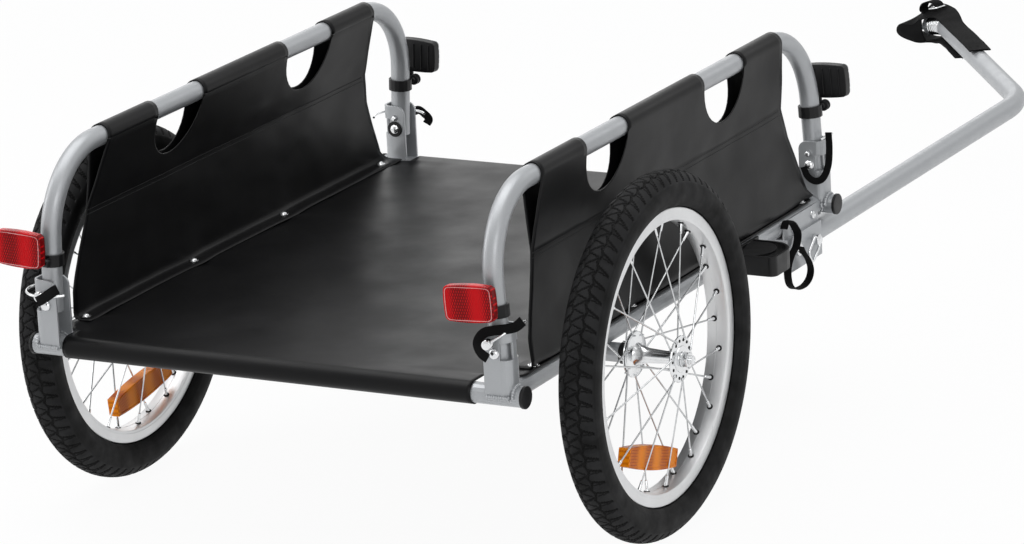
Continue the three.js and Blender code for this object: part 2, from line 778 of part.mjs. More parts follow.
function makeLockPins() {
  const face = bracketHalf;
  const holeAt = face + pinNeck + pinHeadLength / 2;
  for (const { name, side, end, ringTilt } of corners) {
    const group = addGroup(trailer, side * pivotSide, end > 0 ? bedLength : 0, pivotHeight);
    const place = pinPlace(side);
    group.position.add(place);
    const out = new THREE.Vector3(side * Math.cos(ringTilt), 0, Math.sin(ringTilt));
    const inward = new THREE.Vector3(0, -end, 0);
    const basis = new THREE.Matrix4().makeBasis(out, inward, out.clone().cross(inward));
    group.quaternion.setFromRotationMatrix(basis);
    const pin = turned([
      [-holeAt - pinHeadLength / 2, 0],
      [-holeAt - pinHeadLength / 2, pinHeadRadius / 2],
      [-holeAt - pinHeadLength / 4, pinHeadRadius],
      [-holeAt + pinHeadLength / 2, pinHeadRadius],
      [-holeAt + pinHeadLength / 2, pinRadius],
      [face + pinTip - pinRadius / 2, pinRadius],
      [face + pinTip, pinRadius / 2],
      [face + pinTip, 0],
    ], turnedSides).rotateZ(Math.PI / 2);
    const across = new THREE.Vector3(2 * pinHeadRadius, 0, 0);
    const middle = new THREE.Vector3(0, -holeAt, 0);
    const hole = rodBetween(middle.clone().sub(across), middle.clone().add(across),
      ringWireRadius + ringHoleGap, holeSides);
    addPiece(group, `${name}_lock_pin`, cut(pin, [hole]), looks.chrome);
    addPiece(group, `${name}_pin_ring`, makePinRing(ringRadius - holeAt), looks.chrome);
  }
}

function makePinRing(centre) {
  const turn = ringOuterTurn + ringInnerTurn;
  const steps = Math.ceil(turn / bendStepTurn);
  const points = [];
  const tangents = [];
  for (let k = 0; k <= steps; k += 1) {
    const at = (turn * k) / steps - ringInnerTurn;
    points.push(new THREE.Vector3(ringRadius * Math.sin(at), centre - ringRadius * Math.cos(at), 0));
    tangents.push(new THREE.Vector3(Math.cos(at), Math.sin(at), 0));
  }
  return sweep(roundSection(ringWireRadius, wireSides), new StationPath(points, tangents));
}

// Floor sheet: a sleeve round each cross tube, notched round the brackets

function makeFloor() {
  const outer = sleeveInner - panelSleeveGap + gap + fabric;
  const wedge = outer + sleeveGusset;
  const section = new THREE.Shape();
  section.moveTo(bedLength, sheetTop);
  section.lineTo(0, sheetTop);
  section.absarc(0, frameHeight, outer, Math.PI / 2, Math.PI * 2, false);
  section.lineTo(wedge, sheetUnder);
  section.lineTo(bedLength - wedge, sheetUnder);
  section.lineTo(bedLength - outer, frameHeight);
  section.absarc(bedLength, frameHeight, outer, Math.PI, Math.PI * 2.5, false);
  const rounded = new THREE.Shape(section.getPoints(tubeSides));
  const bore = (tubeRadius + gap) / Math.cos(Math.PI / tubeSides);
  for (const y of [0, bedLength]) {
    const hole = circle(Math.min(bore, outer - fabric / 2), tubeSides);
    rounded.holes.push(new THREE.Path(hole.map((p) => p.add(new THREE.Vector2(y, frameHeight)))));
  }
  const sheet = extrudeAlongX(rounded, -sheetSide - overrun, sheetSide + overrun);
  const [rearLeft, rearRight] = [rearSleeveLeftInset - bedHalf, bedHalf - rearSleeveRightInset];
  const [frontLeft, frontRight] = [frontSleeveInset - bedHalf, bedHalf - frontSleeveInset];
  const far = outer + overrun;
  const plan = outline([
    [rearLeft, -far], [rearRight, -far], [rearRight, sheetCornerCut],
    [sheetCornerSide, sheetCornerCut], [sheetSide, sheetCornerStart],
    [sheetSide, bedLength - sheetCornerStart], [sheetCornerSide, bedLength - sheetCornerCut],
    [frontRight, bedLength - sheetCornerCut], [frontRight, bedLength + far],
    [frontLeft, bedLength + far], [frontLeft, bedLength - sheetCornerCut],
    [-sheetCornerSide, bedLength - sheetCornerCut], [-sheetSide, bedLength - sheetCornerStart],
    [-sheetSide, sheetCornerStart], [-sheetCornerSide, sheetCornerCut], [rearLeft, sheetCornerCut],
  ]);
  const tall = extrude(plan, 2 * far + 2 * outer).translate(0, 0, frameHeight - far - outer);
  const riseSide = panelFootSide - panelFoot - sheetRiseMargin;
  const risen = boxBetween([-riseSide, sheetCornerCut, sheetTop - fabric / 2],
    [riseSide, bedLength - sheetCornerCut, sheetTop + sheetRise]);
  addPiece(trailer, 'floor_sheet', join([common(sheet, tall), risen]), looks.fabric);
}

// Side panels: sleeves over the hoop's top rail, two layers down to a seam, one layer to the foot

function makePanels() {
  for (const { name, side } of sides) {
    const hanging = extrudeAlongY(panelSection(), -tubeRadius, bedLength + tubeRadius);
    const cutOut = extrudeAlongX(panelSideView(), hoopTopSide / 2, sheetSide + panelFoot + overrun);
    const panel = common(hanging, cutOut).scale(side, 1, 1);
    addPiece(trailer, `${name}_side_panel`, panel, looks.fabric);
  }
}

// The panel's section across the trailer
function panelSection() {
  const top = new THREE.Vector2(hoopTopSide, hoopTopHeight);
  const footBottom = sheetTop + gap;
  const foot = new THREE.Vector2(panelFootSide, footBottom + fabric);
  const down = foot.clone().sub(top).normalize();
  const seamDistance = (hoopTopHeight - seamHeight) / -down.y;
  const seam = top.clone().addScaledVector(down, seamDistance);
  const half = fabric / 2;
  const outer = loopRound(top, down, sleeveInner + fabric, seamDistance);
  const inner = loopRound(top, down, sleeveInner, seamDistance - 2 * fabric);
  const stem = down.clone().rotateAround(new THREE.Vector2(), Math.PI / 2).multiplyScalar(half);
  const shape = new THREE.Shape([
    new THREE.Vector2(panelFootSide - panelFoot, footBottom),
    new THREE.Vector2(panelFootSide + half, footBottom),
    foot.clone().add(stem), seam.clone().add(stem),
    ...outer,
    seam.clone().sub(stem), foot.clone().sub(stem),
    new THREE.Vector2(panelFootSide - panelFoot, footBottom + fabric),
  ]);
  const tip = top.clone().addScaledVector(down, seamDistance - 2 * fabric);
  shape.holes.push(new THREE.Path([tip, ...inner]));
  return shape;
}

// An arc round the hoop's top tube between the two lines that run down to a point on the axis given
function loopRound(centre, down, radius, distance) {
  const away = Math.acos(radius / distance);
  const axis = Math.atan2(down.y, down.x);
  const steps = (tubeSides * 3) / 4;
  const points = [];
  for (let k = 0; k <= steps; k += 1) {
    const turn = axis + away + ((2 * Math.PI - 2 * away) * k) / steps;
    points.push(new THREE.Vector2(centre.x + radius * Math.cos(turn), centre.y + radius * Math.sin(turn)));
  }
  return points;
}

// The panel's outline seen from the side: drawn-in ends, and half-moon hand holes between its sleeves
function panelSideView() {
  const bottom = sheetTop;
  const top = bottom + panelHeight + overrun;
  const sleeveSpans = sleeveShares.map((ends) => ends.map((share) => share * bedLength));
  const rearInset = sleeveSpans[0][0];
  const frontInset = bedLength - sleeveSpans[2][1];
  const place = ([share, inset]) => [inset, bottom + share * panelHeight];
  const rear = rearEdgeShares.map(([share, inset]) => place([share, inset * rearInset]));
  const front = frontEdgeShares.map(([share, inset]) => place([share, bedLength - inset * frontInset]));
  const curve = (pairs) => new THREE.SplineCurve(outline(pairs)).getPoints(2 * pairs.length);
  const points = [new THREE.Vector2(rear[0][0], bottom - overrun), ...curve(rear)];
  points.push(new THREE.Vector2(rearInset, top));
  const steps = holeArcSteps;
  for (let n = 0; n + 1 < sleeveSpans.length; n += 1) {
    const [from, to] = [sleeveSpans[n][1], sleeveSpans[n + 1][0]];
    points.push(new THREE.Vector2(from, top));
    for (let k = 0; k <= steps; k += 1) {
      const turn = (Math.PI * k) / steps;
      const y = (from + to) / 2 - ((to - from) / 2) * Math.cos(turn);
      points.push(new THREE.Vector2(y, hoopTopHeight - handHoleDepth * Math.sin(turn)));
    }
    points.push(new THREE.Vector2(to, top));
  }
  points.push(new THREE.Vector2(bedLength - frontInset, top), ...curve(front).reverse());
  points.push(new THREE.Vector2(front[0][0], bottom - overrun));
  return new THREE.Shape(points);
}

// Wheels

function makeWheels() {
  for (const { name, side, reflectorTurn } of sides) {
    const wheel = addGroup(trailer, (side * wheelSpacing) / 2, wheelSetback, axleHeight);
    addPiece(wheel, `${name}_tyre`, makeTyre(), looks.rubber);
    addPiece(wheel, `${name}_rim`, makeRim(), looks.aluminium);
    addPiece(wheel, `${name}_hub`, makeHub(), looks.chrome);
    addPiece(wheel, `${name}_wheel_reflector`, makeWheelReflector(reflectorTurn), looks.orange);
    makeAxle(name, side);
  }
}

function arcOf(centre, radius, from, to, steps) {
  const points = [];
  for (let k = 0; k <= steps; k += 1) {
    const turn = from + ((to - from) * k) / steps;
    points.push([radius * Math.cos(turn), centre + radius * Math.sin(turn)]);
  }
  return points;
}

function makeTyre() {
  const outer = tyreWidth / 2;
  const inner = outer - tyreWall;
  const centre = wheelRadius - outer;
  const seat = rimRadius + gap;
  const beadOut = rimWidth / 2 - rimWall - gap;
  const beadIn = beadOut - beadThickness;
  const outerStart = Math.asin((seat - centre) / outer);
  const innerStart = -Math.acos(beadIn / inner);
  const beadEnd = rimRadius - beadDepth;
  return turnedRing([
    [beadIn, beadEnd], [beadOut, beadEnd], [beadOut, seat],
    ...arcOf(centre, outer, outerStart, Math.PI - outerStart, tyreSteps),
    [-beadOut, seat], [-beadOut, beadEnd], [-beadIn, beadEnd],
    ...arcOf(centre, inner, Math.PI - innerStart, innerStart, tyreInnerSteps),
  ], wheelSides);
}

function makeRim() {
  const [half, inner] = [rimWidth / 2, rimWidth / 2 - rimWall];
  const bed = rimRadius - rimDepth;
  return turnedRing([
    [half, bed], [half, rimRadius], [inner, rimRadius], [inner, bed + rimFloor],
    [-inner, bed + rimFloor], [-inner, rimRadius], [-half, rimRadius], [-half, bed],
    [0, bed - rimCrown],
  ], wheelSides);
}

// Where a spoke crosses a radius: how far it lies from the wheel's middle plane
function spokeOffsetAt(radius) {
  const hubEnd = new THREE.Vector2(spokeCircleRadius, 0);
  const rimEnd = new THREE.Vector2(Math.cos(spokeLean), Math.sin(spokeLean)).multiplyScalar(rimInner);
  const run = rimEnd.sub(hubEnd);
  const [a, b, c] = [run.lengthSq(), 2 * hubEnd.dot(run), spokeCircleRadius ** 2 - radius ** 2];
  const share = (-b + Math.sqrt(b * b - 4 * a * c)) / (2 * a);
  return flangeOffset() + (spokeLandingOffset - flangeOffset()) * share - spokeStagger * (1 - share);
}

function flangeOffset() {
  return hubLength / 2 - hubFlangeInset - hubFlangeThickness / 2;
}

// A spoke ends just short of the facet of the rim that it meets
function spokeEndRadius(turn) {
  const facet = (2 * Math.PI) / wheelSides;
  const fromMiddle = (turn % facet) - facet / 2;
  return (rimInner * Math.cos(facet / 2)) / Math.cos(fromMiddle) - runningGap;
}

function makeHub() {
  const half = hubLength / 2;
  const bore = axleRadius + runningGap;
  const [flangeOut, flangeIn] = [half - hubFlangeInset, half - hubFlangeInset - hubFlangeThickness];
  const halfProfile = [
    [half, bore], [half, hubWaistRadius], [flangeOut, hubWaistRadius], [flangeOut, hubFlangeRadius],
    [flangeIn, hubFlangeRadius], [flangeIn, hubShoulderRadius], [hubWaistLength / 2, hubWaistRadius],
  ];
  const mirrored = halfProfile.map(([along, radius]) => [-along, radius]).reverse();
  const pieces = [turnedRing([...halfProfile, ...mirrored], tubeSides)];
  return join([...pieces, ...makeSpokes(spokeRadius)]);
}

function makeSpokes(wireRadius) {
  const spokeAt = (x, radius, turn) => new THREE.Vector3(x, radius * Math.sin(turn), radius * Math.cos(turn));
  const spokes = [];
  for (let n = 0; n < spokeCount; n += 1) {
    const flange = n % 2 ? -1 : 1;
    const lead = Math.floor(n / 2) % 2 ? -1 : 1;
    const rimTurn = (2 * Math.PI * n) / spokeCount;
    const stagger = lead * spokeStagger;
    spokes.push(rodBetween(
      spokeAt(flange * (flangeOffset() + stagger), spokeCircleRadius, rimTurn + lead * spokeLean),
      spokeAt(flange * spokeLandingOffset, spokeEndRadius(rimTurn), rimTurn), wireRadius, spokeSides));
  }
  return spokes;
}

// A barrel-shaped reflector held between the two fans of spokes; turn 0 is straight below the axle
function makeWheelReflector(turn) {
  const half = wheelReflectorThickness / 2;
  const steps = reflectorSteps;
  const waist = (wheelReflectorDepth - wheelReflectorEndDepth) / 2;
  const points = [];
  for (const way of [1, -1]) {
    for (let k = 0; k <= steps; k += 1) {
      const along = way * ((2 * k) / steps - 1);
      const out = wheelReflectorRadius + way * (wheelReflectorDepth / 2 - waist * along * along);
      const place = new THREE.Vector2((along * wheelReflectorLength) / 2, -out);
      points.push(place.rotateAround(new THREE.Vector2(), turn).toArray());
    }
  }
  return cut(extrudeAlongX(outline(points), -half, half), makeSpokes(spokeRadius + gap));
}

// One axle: the rod in the axle tube, the inner lock nut, the hub's seat and the outer nut
function makeAxle(name, side) {
  const bushFace = axleTubeLength / 2 + gap + bushFlangeThickness;
  const hubInner = wheelSpacing / 2 - hubLength / 2;
  const hubOuter = hubInner + hubLength;
  const nutEnd = hubOuter + gap + axleNutLength;
  const axle = turned([
    [axleTubeLength / 2 - axleInnerLength, 0],
    [axleTubeLength / 2 - axleInnerLength, axleRadius],
    [bushFace + gap, axleRadius],
    [bushFace + gap, axleNutRadius],
    [hubInner - gap, axleNutRadius],
    [hubInner - gap, axleRadius],
    [hubOuter + gap, axleRadius],
    [hubOuter + gap, axleNutRadius],
    [nutEnd, axleNutRadius],
    [nutEnd, axleTipRadius],
    [nutEnd + axleTipLength, axleTipRadius],
    [nutEnd + axleTipLength, 0],
  ], turnedSides);
  const bushBore = axleRadius + gap;
  const plug = (axleTubeRadius - axleTubeWall - gap) * Math.cos(Math.PI / boreSides);
  const bush = turnedRing([
    [axleTubeLength / 2 - bushPlugLength, bushBore],
    [axleTubeLength / 2 - bushPlugLength, plug],
    [axleTubeLength / 2 + gap, plug],
    [axleTubeLength / 2 + gap, bushFlangeRadius],
    [bushFace, bushFlangeRadius],
    [bushFace, bushBore],
  ], turnedSides);
  for (const [part, geometry, look] of [['axle', axle, looks.chrome], ['axle_bush', bush, looks.plastic]]) {
    geometry.rotateZ(side > 0 ? 0 : Math.PI).translate(0, wheelSetback, axleHeight);
    addPiece(trailer, `${name}_${part}`, geometry, look);
  }
}

// Tow bracket under the right rail: an inverted channel with a cheek against the rail's outer side

function makeTowBracket() {
  const railFace = railSpacing / 2 + tubeRadius + gap;
  const [left, right] = [armSide - channelOuter, armSide + channelOuter];
  const [innerLeft, innerRight] = [armSide - channelInner, armSide + channelInner];
  const bottom = railUnder - channelDepth;
  const section = outline([
    [left, bottom], [left, railUnder], [railFace, railUnder], [railFace, railUnder + cheekHeight],
    [railFace + cheekThickness, railUnder + cheekHeight], [railFace + cheekThickness, railUnder],
    [right, railUnder], [right, bottom], [innerRight, bottom],
    [innerRight, railUnder - channelWall], [innerLeft, railUnder - channelWall], [innerLeft, bottom],
  ]);
  const channel = extrudeAlongY(section, channelStart, channelEnd);
  const cheek = railFace + cheekThickness;
  const screws = [[railBoltReach, railBoltRise], [anchorReach, anchorRise]].map(([reach, rise]) => {
    const head = turned([
      [-cheekThickness / 2, 0], [-cheekThickness / 2, screwHeadRadius],
      [screwHeadHeight / 2, screwHeadRadius], [screwHeadHeight, screwHeadRadius / 2],
      [screwHeadHeight, 0],
    ], turnedSides);
    return head.translate(cheek, towPivot + reach, armHeight + rise);
  });
  const across = (reach, radius) => rodBetween(
    new THREE.Vector3(left - overrun, towPivot + reach, armHeight),
    new THREE.Vector3(right + overrun, towPivot + reach, armHeight), radius, holeSides);
  const holes = [across(0, towBoltRadius + holeGap), across(towPinReach, towBoltRadius + holeGap)];
  addPiece(trailer, 'tow_bracket', cut(join([channel, ...screws]), holes), looks.silver);
}

function makeTowPivotBolt() {
  const face = channelOuter + gap;
  const bolt = turned([
    [-face - towHeadHeight, 0], [-face - towHeadHeight, towHeadRadius], [-face, towHeadRadius],
    [-face, towBoltRadius], [face, towBoltRadius], [face, towHeadRadius],
    [face + towHeadHeight / 2, towHeadRadius], [face + towHeadHeight, towHeadRadius / 2],
    [face + towHeadHeight, 0],
  ], turnedSides);
  addPiece(trailer, 'tow_pivot_bolt', bolt.translate(armSide, towPivot, armHeight), looks.chrome);
}

function makeTowLockPin() {
  const group = addGroup(trailer, towFace + gap + towPinHeadLength / 2, towPivot + towPinReach, armHeight);
  const half = towPinHeadLength / 2;
  const tip = -half - gap - 2 * channelOuter - pinTip;
  const pin = turned([
    [tip, 0], [tip, towBoltRadius / 2], [tip + towBoltRadius / 2, towBoltRadius], [-half, towBoltRadius],
    [-half, towPinHeadRadius], [half / 2, towPinHeadRadius], [half, towPinHeadRadius / 2], [half, 0],
  ], turnedSides);
  const along = new THREE.Vector3(0, Math.sin(bailTilt), -Math.cos(bailTilt));
  const down = new THREE.Vector3(0, -Math.cos(bailTilt), -Math.sin(bailTilt));
  const reach = along.clone().multiplyScalar(2 * towPinHeadRadius);
  const hole = rodBetween(reach.clone().negate(), reach, bailWireRadius + holeGap, holeSides);
  addPiece(group, 'tow_lock_pin', cut(pin, [hole]), looks.chrome);
  const at = (a, d) => along.clone().multiplyScalar(a).addScaledVector(down, d);
  const bail = bentPath([
    at(bailEndGap / 2, 0), at(bailWidth / 2, 0), at(bailWidth / 2, bailLength),
    at(-bailWidth / 2, bailLength), at(-bailWidth / 2, 0), at(-bailEndGap / 2, 0),
  ], bailBendRadius);
  addPiece(group, 'tow_pin_bail', sweep(roundSection(bailWireRadius, wireSides), bail), looks.chrome);
}

// The webbing tether hangs from the anchor screw in a loop and comes up to the bail
function makeTowTether() {
  const side = towFace + gap + tetherWidth / 2;
  const curve = new THREE.CatmullRomCurve3(tetherShares.map(([reach, rise]) => new THREE.Vector3(
    side, towPivot + reach * towPinReach, armHeight + rise * towPinReach)));
  const across = new THREE.Vector3(1, 0, 0);
  const stations = curve.getPoints(2 * tetherShares.length).map((at) => ({ at, across }));
  addPiece(trailer, 'tow_tether', ribbon(stations, tetherWidth, tetherThickness), looks.webbing);
}

// Wheel guard: a moulded loop on the right rail, in front of the tyre, decked over next to the rail

function makeWheelGuard() {
  const face = railSpacing / 2 + tubeRadius + gap;
  const far = face + guardReach;
  const shape = new THREE.Shape(guardLoop(face, far, guardStart, guardEnd, guardNearRadius, guardFarRadius));
  const inner = guardLoop(face + guardWall, far - guardWall, guardStart + guardWall, guardEnd - guardWall,
    guardNearRadius - guardWall, guardFarRadius - guardWall);
  shape.holes.push(new THREE.Path(inner));
  const top = frameHeight + guardRise;
  const bottom = top - guardHeight;
  const loop = extrude(shape, guardHeight).translate(0, 0, bottom);
  const round = (guardEnd - guardStart - guardWall) / 2;
  const deckEnd = new THREE.Shape();
  deckEnd.moveTo(face, guardStart + guardWall / 2);
  deckEnd.absarc(face + guardDeckShare * guardReach - round, (guardStart + guardEnd) / 2, round,
    -Math.PI / 2, Math.PI / 2, false);
  deckEnd.lineTo(face, guardEnd - guardWall / 2);
  const deck = extrude(deckEnd.getPoints(roundSteps), guardWall);
  deck.translate(0, 0, top - guardDeckDrop - guardWall);
  const flange = boxBetween([face, guardEnd - guardWall, bottom + guardHeight / 2],
    [face + guardWall, guardEnd + guardFlange, top]);
  addPiece(trailer, 'wheel_guard', join([loop, deck, flange]), looks.plastic);
}

function guardLoop(near, far, start, end, nearRadius, farRadius) {
  const shape = new THREE.Shape();
  shape.moveTo(near, start);
  shape.lineTo(far - nearRadius, start);
  shape.absarc(far - nearRadius, start + nearRadius, nearRadius, -Math.PI / 2, 0, false);
  shape.absarc(far - farRadius, end - farRadius, farRadius, 0, Math.PI / 2, false);
  shape.lineTo(near, end);
  return shape.getPoints(cornerSteps);
}

// Tow arm: a bent tube, rounded behind its pivot, slotted for the lock pin

const armDirection = new THREE.Vector3(-Math.sin(armTurn), Math.cos(armTurn), 0);
const armCorner = new THREE.Vector3(armSide, towPivot + armLength, armHeight);

function armPoint(distance) {
  return armCorner.clone().addScaledVector(armDirection, distance);
}

function makeTowArm() {
  const start = new THREE.Vector3(armSide, towPivot - armRadius, armHeight);
  const path = bentPath([start, armCorner, armPoint(armReach)], armBendRadius);
  const tube = sweep(roundSection(armRadius, tubeSides, armRadius - armWall), path);
  const [from, to] = [armSide - armRadius - overrun, armSide + armRadius + overrun];
  const pivotRod = (radius, count) => rodBetween(
    new THREE.Vector3(from - overrun, towPivot, armHeight),
    new THREE.Vector3(to + overrun, towPivot, armHeight), radius, count);
  const behind = cut(
    boxBetween([from, towPivot - armRadius - overrun, armHeight - armRadius - overrun],
      [to, towPivot, armHeight + armRadius + overrun]),
    [pivotRod(armRadius, tubeSides)]);
  const half = towBoltRadius + holeGap;
  const steps = slotSteps;
  const slot = [];
  for (const [radius, way] of [[towPinReach - half, 1], [towPinReach + half, -1]]) {
    for (let k = 0; k <= steps; k += 1) {
      const turn = armSlotTurn * (way > 0 ? k / steps : 1 - k / steps);
      slot.push([towPivot + radius * Math.cos(turn), armHeight + radius * Math.sin(turn)]);
    }
  }
  for (let k = 1; k < steps; k += 1) {
    const turn = (-Math.PI * k) / steps;
    slot.push([towPivot + towPinReach + half * Math.cos(turn), armHeight + half * Math.sin(turn)]);
  }
  const bolt = pivotRod(towBoltRadius + holeGap, holeSides);
  const tools = [behind, bolt, extrudeAlongX(outline(slot), from, to)];
  addPiece(trailer, 'tow_arm', cut(tube, tools), looks.silver);
}

// Spring hitch: a coil that turns left and droops from the tube's end, and the coupler on its far end

const hitchYaw = Math.PI / 2 + armTurn + hitchTurn;
const hitchLevel = new THREE.Vector3(Math.cos(hitchYaw), Math.sin(hitchYaw), 0);
const hitchDirection = hitchLevel.clone().multiplyScalar(Math.cos(hitchDroop));
hitchDirection.z = -Math.sin(hitchDroop);
const hitchSide = new THREE.Vector3(0, 0, 1).cross(hitchLevel);
const hitchUp = hitchDirection.clone().cross(hitchSide);
const hitchStart = armPoint(armReach + gap);
const hitchKnee = armPoint(armReach + gap + springLength / 2);
const hitchEnd = hitchKnee.clone().addScaledVector(hitchDirection, springLength / 2);

function makeHitchSpring() {
  const core = new THREE.QuadraticBezierCurve3(hitchStart, hitchKnee, hitchEnd);
  const side = armDirection.clone().cross(hitchDirection).normalize();
  const around = (share, turn) => {
    const ahead = core.getTangentAt(share);
    const up = side.clone().cross(ahead).normalize();
    const out = side.clone().multiplyScalar(Math.cos(turn)).addScaledVector(up, Math.sin(turn));
    return core.getPointAt(share).addScaledVector(out, springMeanRadius);
  };
  const length = core.getLength();
  const count = springCoils * springSteps;
  const lead = springEnd / length;
  const points = [around(0, 0)];
  for (let k = 0; k <= count; k += 1) {
    const share = lead + ((1 - 2 * lead) * k) / count;
    points.push(around(share, (2 * Math.PI * k) / springSteps));
  }
  points.push(around(1, (2 * Math.PI * count) / springSteps));
  const last = points.length - 1;
  const tangents = points.map((point, n) => (
    towards(points[Math.max(n - 1, 0)], points[Math.min(n + 1, last)])));
  tangents[0] = core.getTangentAt(0);
  tangents[last] = core.getTangentAt(1);
  printLeastGap('hitch spring', points, springSteps / 2, springWireRadius);
  addPiece(trailer, 'hitch_spring', sweep(roundSection(springWireRadius, springSides),
    new StationPath(points, tangents)), looks.chrome);
}

// The least distance between turns that are not neighbours along the wire
function printLeastGap(name, points, apart, wireRadius) {
  const fine = new THREE.CatmullRomCurve3(points).getPoints(points.length * gapSteps);
  const skip = apart * gapSteps;
  let least = Infinity;
  for (let a = 0; a < fine.length; a += 1) {
    for (let b = a + skip; b < fine.length; b += 1) {
      least = Math.min(least, fine[a].distanceTo(fine[b]));
    }
  }
  console.log(`${name}: least gap to itself ${(least - 2 * wireRadius).toFixed(2)} mm`);
}

function makeCoupler() {
  const collarEnd = gap + couplerCollarLength;
  const body = turned([
    [-couplerPlugLength, 0], [-couplerPlugLength, couplerPlugRadius], [gap, couplerPlugRadius],
    [gap, couplerCollarRadius], [collarEnd, couplerCollarRadius], [collarEnd, 0],
  ], turnedSides);
  const [half, end] = [plateWidth / 2, collarEnd + plateLength - plateWidth / 2];
  const shape = new THREE.Shape();
  shape.moveTo(collarEnd - couplerCollarLength / 2, -half);
  shape.absarc(end, 0, half, -Math.PI / 2, Math.PI / 2, false);
  shape.lineTo(collarEnd - couplerCollarLength / 2, half);
  const plate = new THREE.Shape(shape.getPoints(roundSteps));
  const hole = circle(plateHoleRadius, turnedSides).map((p) => p.add(new THREE.Vector2(end, 0)));
  plate.holes.push(new THREE.Path(hole));
  const tongue = extrude(plate, plateThickness).translate(0, 0, -plateThickness / 2);
  const coupler = join([body, tongue]);
  coupler.applyMatrix4(new THREE.Matrix4().makeBasis(hitchDirection, hitchSide, hitchUp));
  addPiece(trailer, 'hitch_coupler', coupler.translate(hitchEnd.x, hitchEnd.y, hitchEnd.z), looks.silver);
}

// The safety strap lies on the arm, goes over the spring and round the coupler, and comes back below
function makeSafetyStrap() {
  const over = armRadius + strapThickness / 2 + gap;
  const off = strapClearance;
  const beyond = couplerCollarLength + plateLength + off;
  const level = (distance, rise) => armPoint(distance).add(new THREE.Vector3(0, 0, rise));
  const past = (distance, rise) => {
    const point = hitchEnd.clone().addScaledVector(hitchDirection, distance);
    return point.addScaledVector(hitchUp, rise);
  };
  const acrossArm = new THREE.Vector3(Math.cos(armTurn), Math.sin(armTurn), 0);
  const acrossHitch = hitchSide.clone().negate();
  const between = acrossArm.clone().add(acrossHitch).normalize();
  const stations = [
    { at: level(strapTopStart, over), across: acrossArm },
    { at: level(armReach - springLength, over), across: acrossArm },
    { at: level(armReach + springLength / 4, over + off), across: between },
    { at: past(0, couplerCollarRadius + 2 * off), across: acrossHitch },
    { at: past(plateLength / 2, couplerCollarRadius), across: acrossHitch },
    { at: past(beyond, off), across: acrossHitch },
    { at: past(beyond + off, -off), across: acrossHitch },
    { at: past(plateLength / 2, -couplerCollarRadius - off), across: acrossHitch },
    { at: past(0, -couplerCollarRadius - 2 * off), across: acrossHitch },
    { at: level(armReach + springLength / 4, -over - off), across: between },
    { at: level(strapUnderEnd, -over), across: acrossArm },
  ];
  addPiece(trailer, 'safety_strap', ribbon(stations, strapWidth, strapThickness), looks.webbing);
}

makeFrame();
makeEndCaps();
makeBrackets();
makePivotBolts();
makeHoops();
makeReflectors();
makeLockPins();
makeFloor();
makePanels();
makeWheels();
makeTowBracket();
makeTowPivotBolt();
makeTowLockPin();
makeTowTether();
makeWheelGuard();
makeTowArm();
makeHitchSpring();
makeCoupler();
makeSafetyStrap();

// The origin lies under the middle of the whole trailer, on the ground
const reach = new THREE.Box3().setFromObject(trailer, true);
trailer.position.y = -(reach.min.y + reach.max.y) / 2;
trailer.updateMatrixWorld(true);

export default trailer;
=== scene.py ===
"""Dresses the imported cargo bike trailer: materials, fabric, wheels, webbing and small fittings.

Places are in millimetres as on the trailer: x to the right, y forward from the rear cross tube and
z up from the ground. place() turns them into metres in the row's frame."""

import bpy
import math
from collections import namedtuple
from mathutils import Matrix, Vector, noise


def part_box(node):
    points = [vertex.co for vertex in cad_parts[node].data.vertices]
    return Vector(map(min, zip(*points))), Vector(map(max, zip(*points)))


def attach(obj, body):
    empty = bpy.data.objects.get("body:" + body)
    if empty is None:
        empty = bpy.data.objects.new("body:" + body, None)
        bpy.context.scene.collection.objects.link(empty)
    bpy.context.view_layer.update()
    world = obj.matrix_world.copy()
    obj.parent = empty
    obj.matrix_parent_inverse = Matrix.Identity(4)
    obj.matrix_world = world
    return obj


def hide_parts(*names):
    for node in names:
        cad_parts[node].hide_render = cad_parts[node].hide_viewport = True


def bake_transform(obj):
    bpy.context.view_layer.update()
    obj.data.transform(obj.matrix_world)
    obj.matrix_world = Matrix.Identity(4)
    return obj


MM = 0.001
QUARTER = math.pi / 2
X, Y, Z = Vector((1, 0, 0)), Vector((0, 1, 0)), Vector((0, 0, 1))
SIDES = (("left", -1), ("right", 1))
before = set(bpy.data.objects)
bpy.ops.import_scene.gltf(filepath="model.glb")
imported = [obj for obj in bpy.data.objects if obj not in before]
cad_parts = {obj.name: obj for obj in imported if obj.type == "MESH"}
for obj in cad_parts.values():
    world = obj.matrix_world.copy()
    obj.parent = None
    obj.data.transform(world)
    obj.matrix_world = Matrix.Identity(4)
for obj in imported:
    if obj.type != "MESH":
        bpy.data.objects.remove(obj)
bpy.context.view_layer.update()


def middle(node):
    low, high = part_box(node)
    return (low + high) / 2


# Places that the frame gives
REAR = middle("rear_cross_tube").y
BED = (middle("front_cross_tube").y - REAR) / MM
TUBE = (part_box("rear_cross_tube")[1].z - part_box("rear_cross_tube")[0].z) / 2 / MM
FRAME_Z = middle("rear_cross_tube").z / MM
RAIL_X = middle("right_rail").x / MM
PIVOT_X = middle("rear_right_pivot_bolt").x / MM
PIVOT_Z = middle("rear_right_pivot_bolt").z / MM
WHEEL = middle("right_tyre")
WHEEL_X = WHEEL.x / MM
AXLE = Vector((0, WHEEL.y, WHEEL.z))
SHEET_RISE = 0.4
FLOOR_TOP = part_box("floor_sheet")[1].z / MM - SHEET_RISE
ARM_X = middle("tow_pivot_bolt").x / MM
ARM_Y = (middle("tow_pivot_bolt").y - REAR) / MM
ARM_Z = middle("tow_pivot_bolt").z / MM

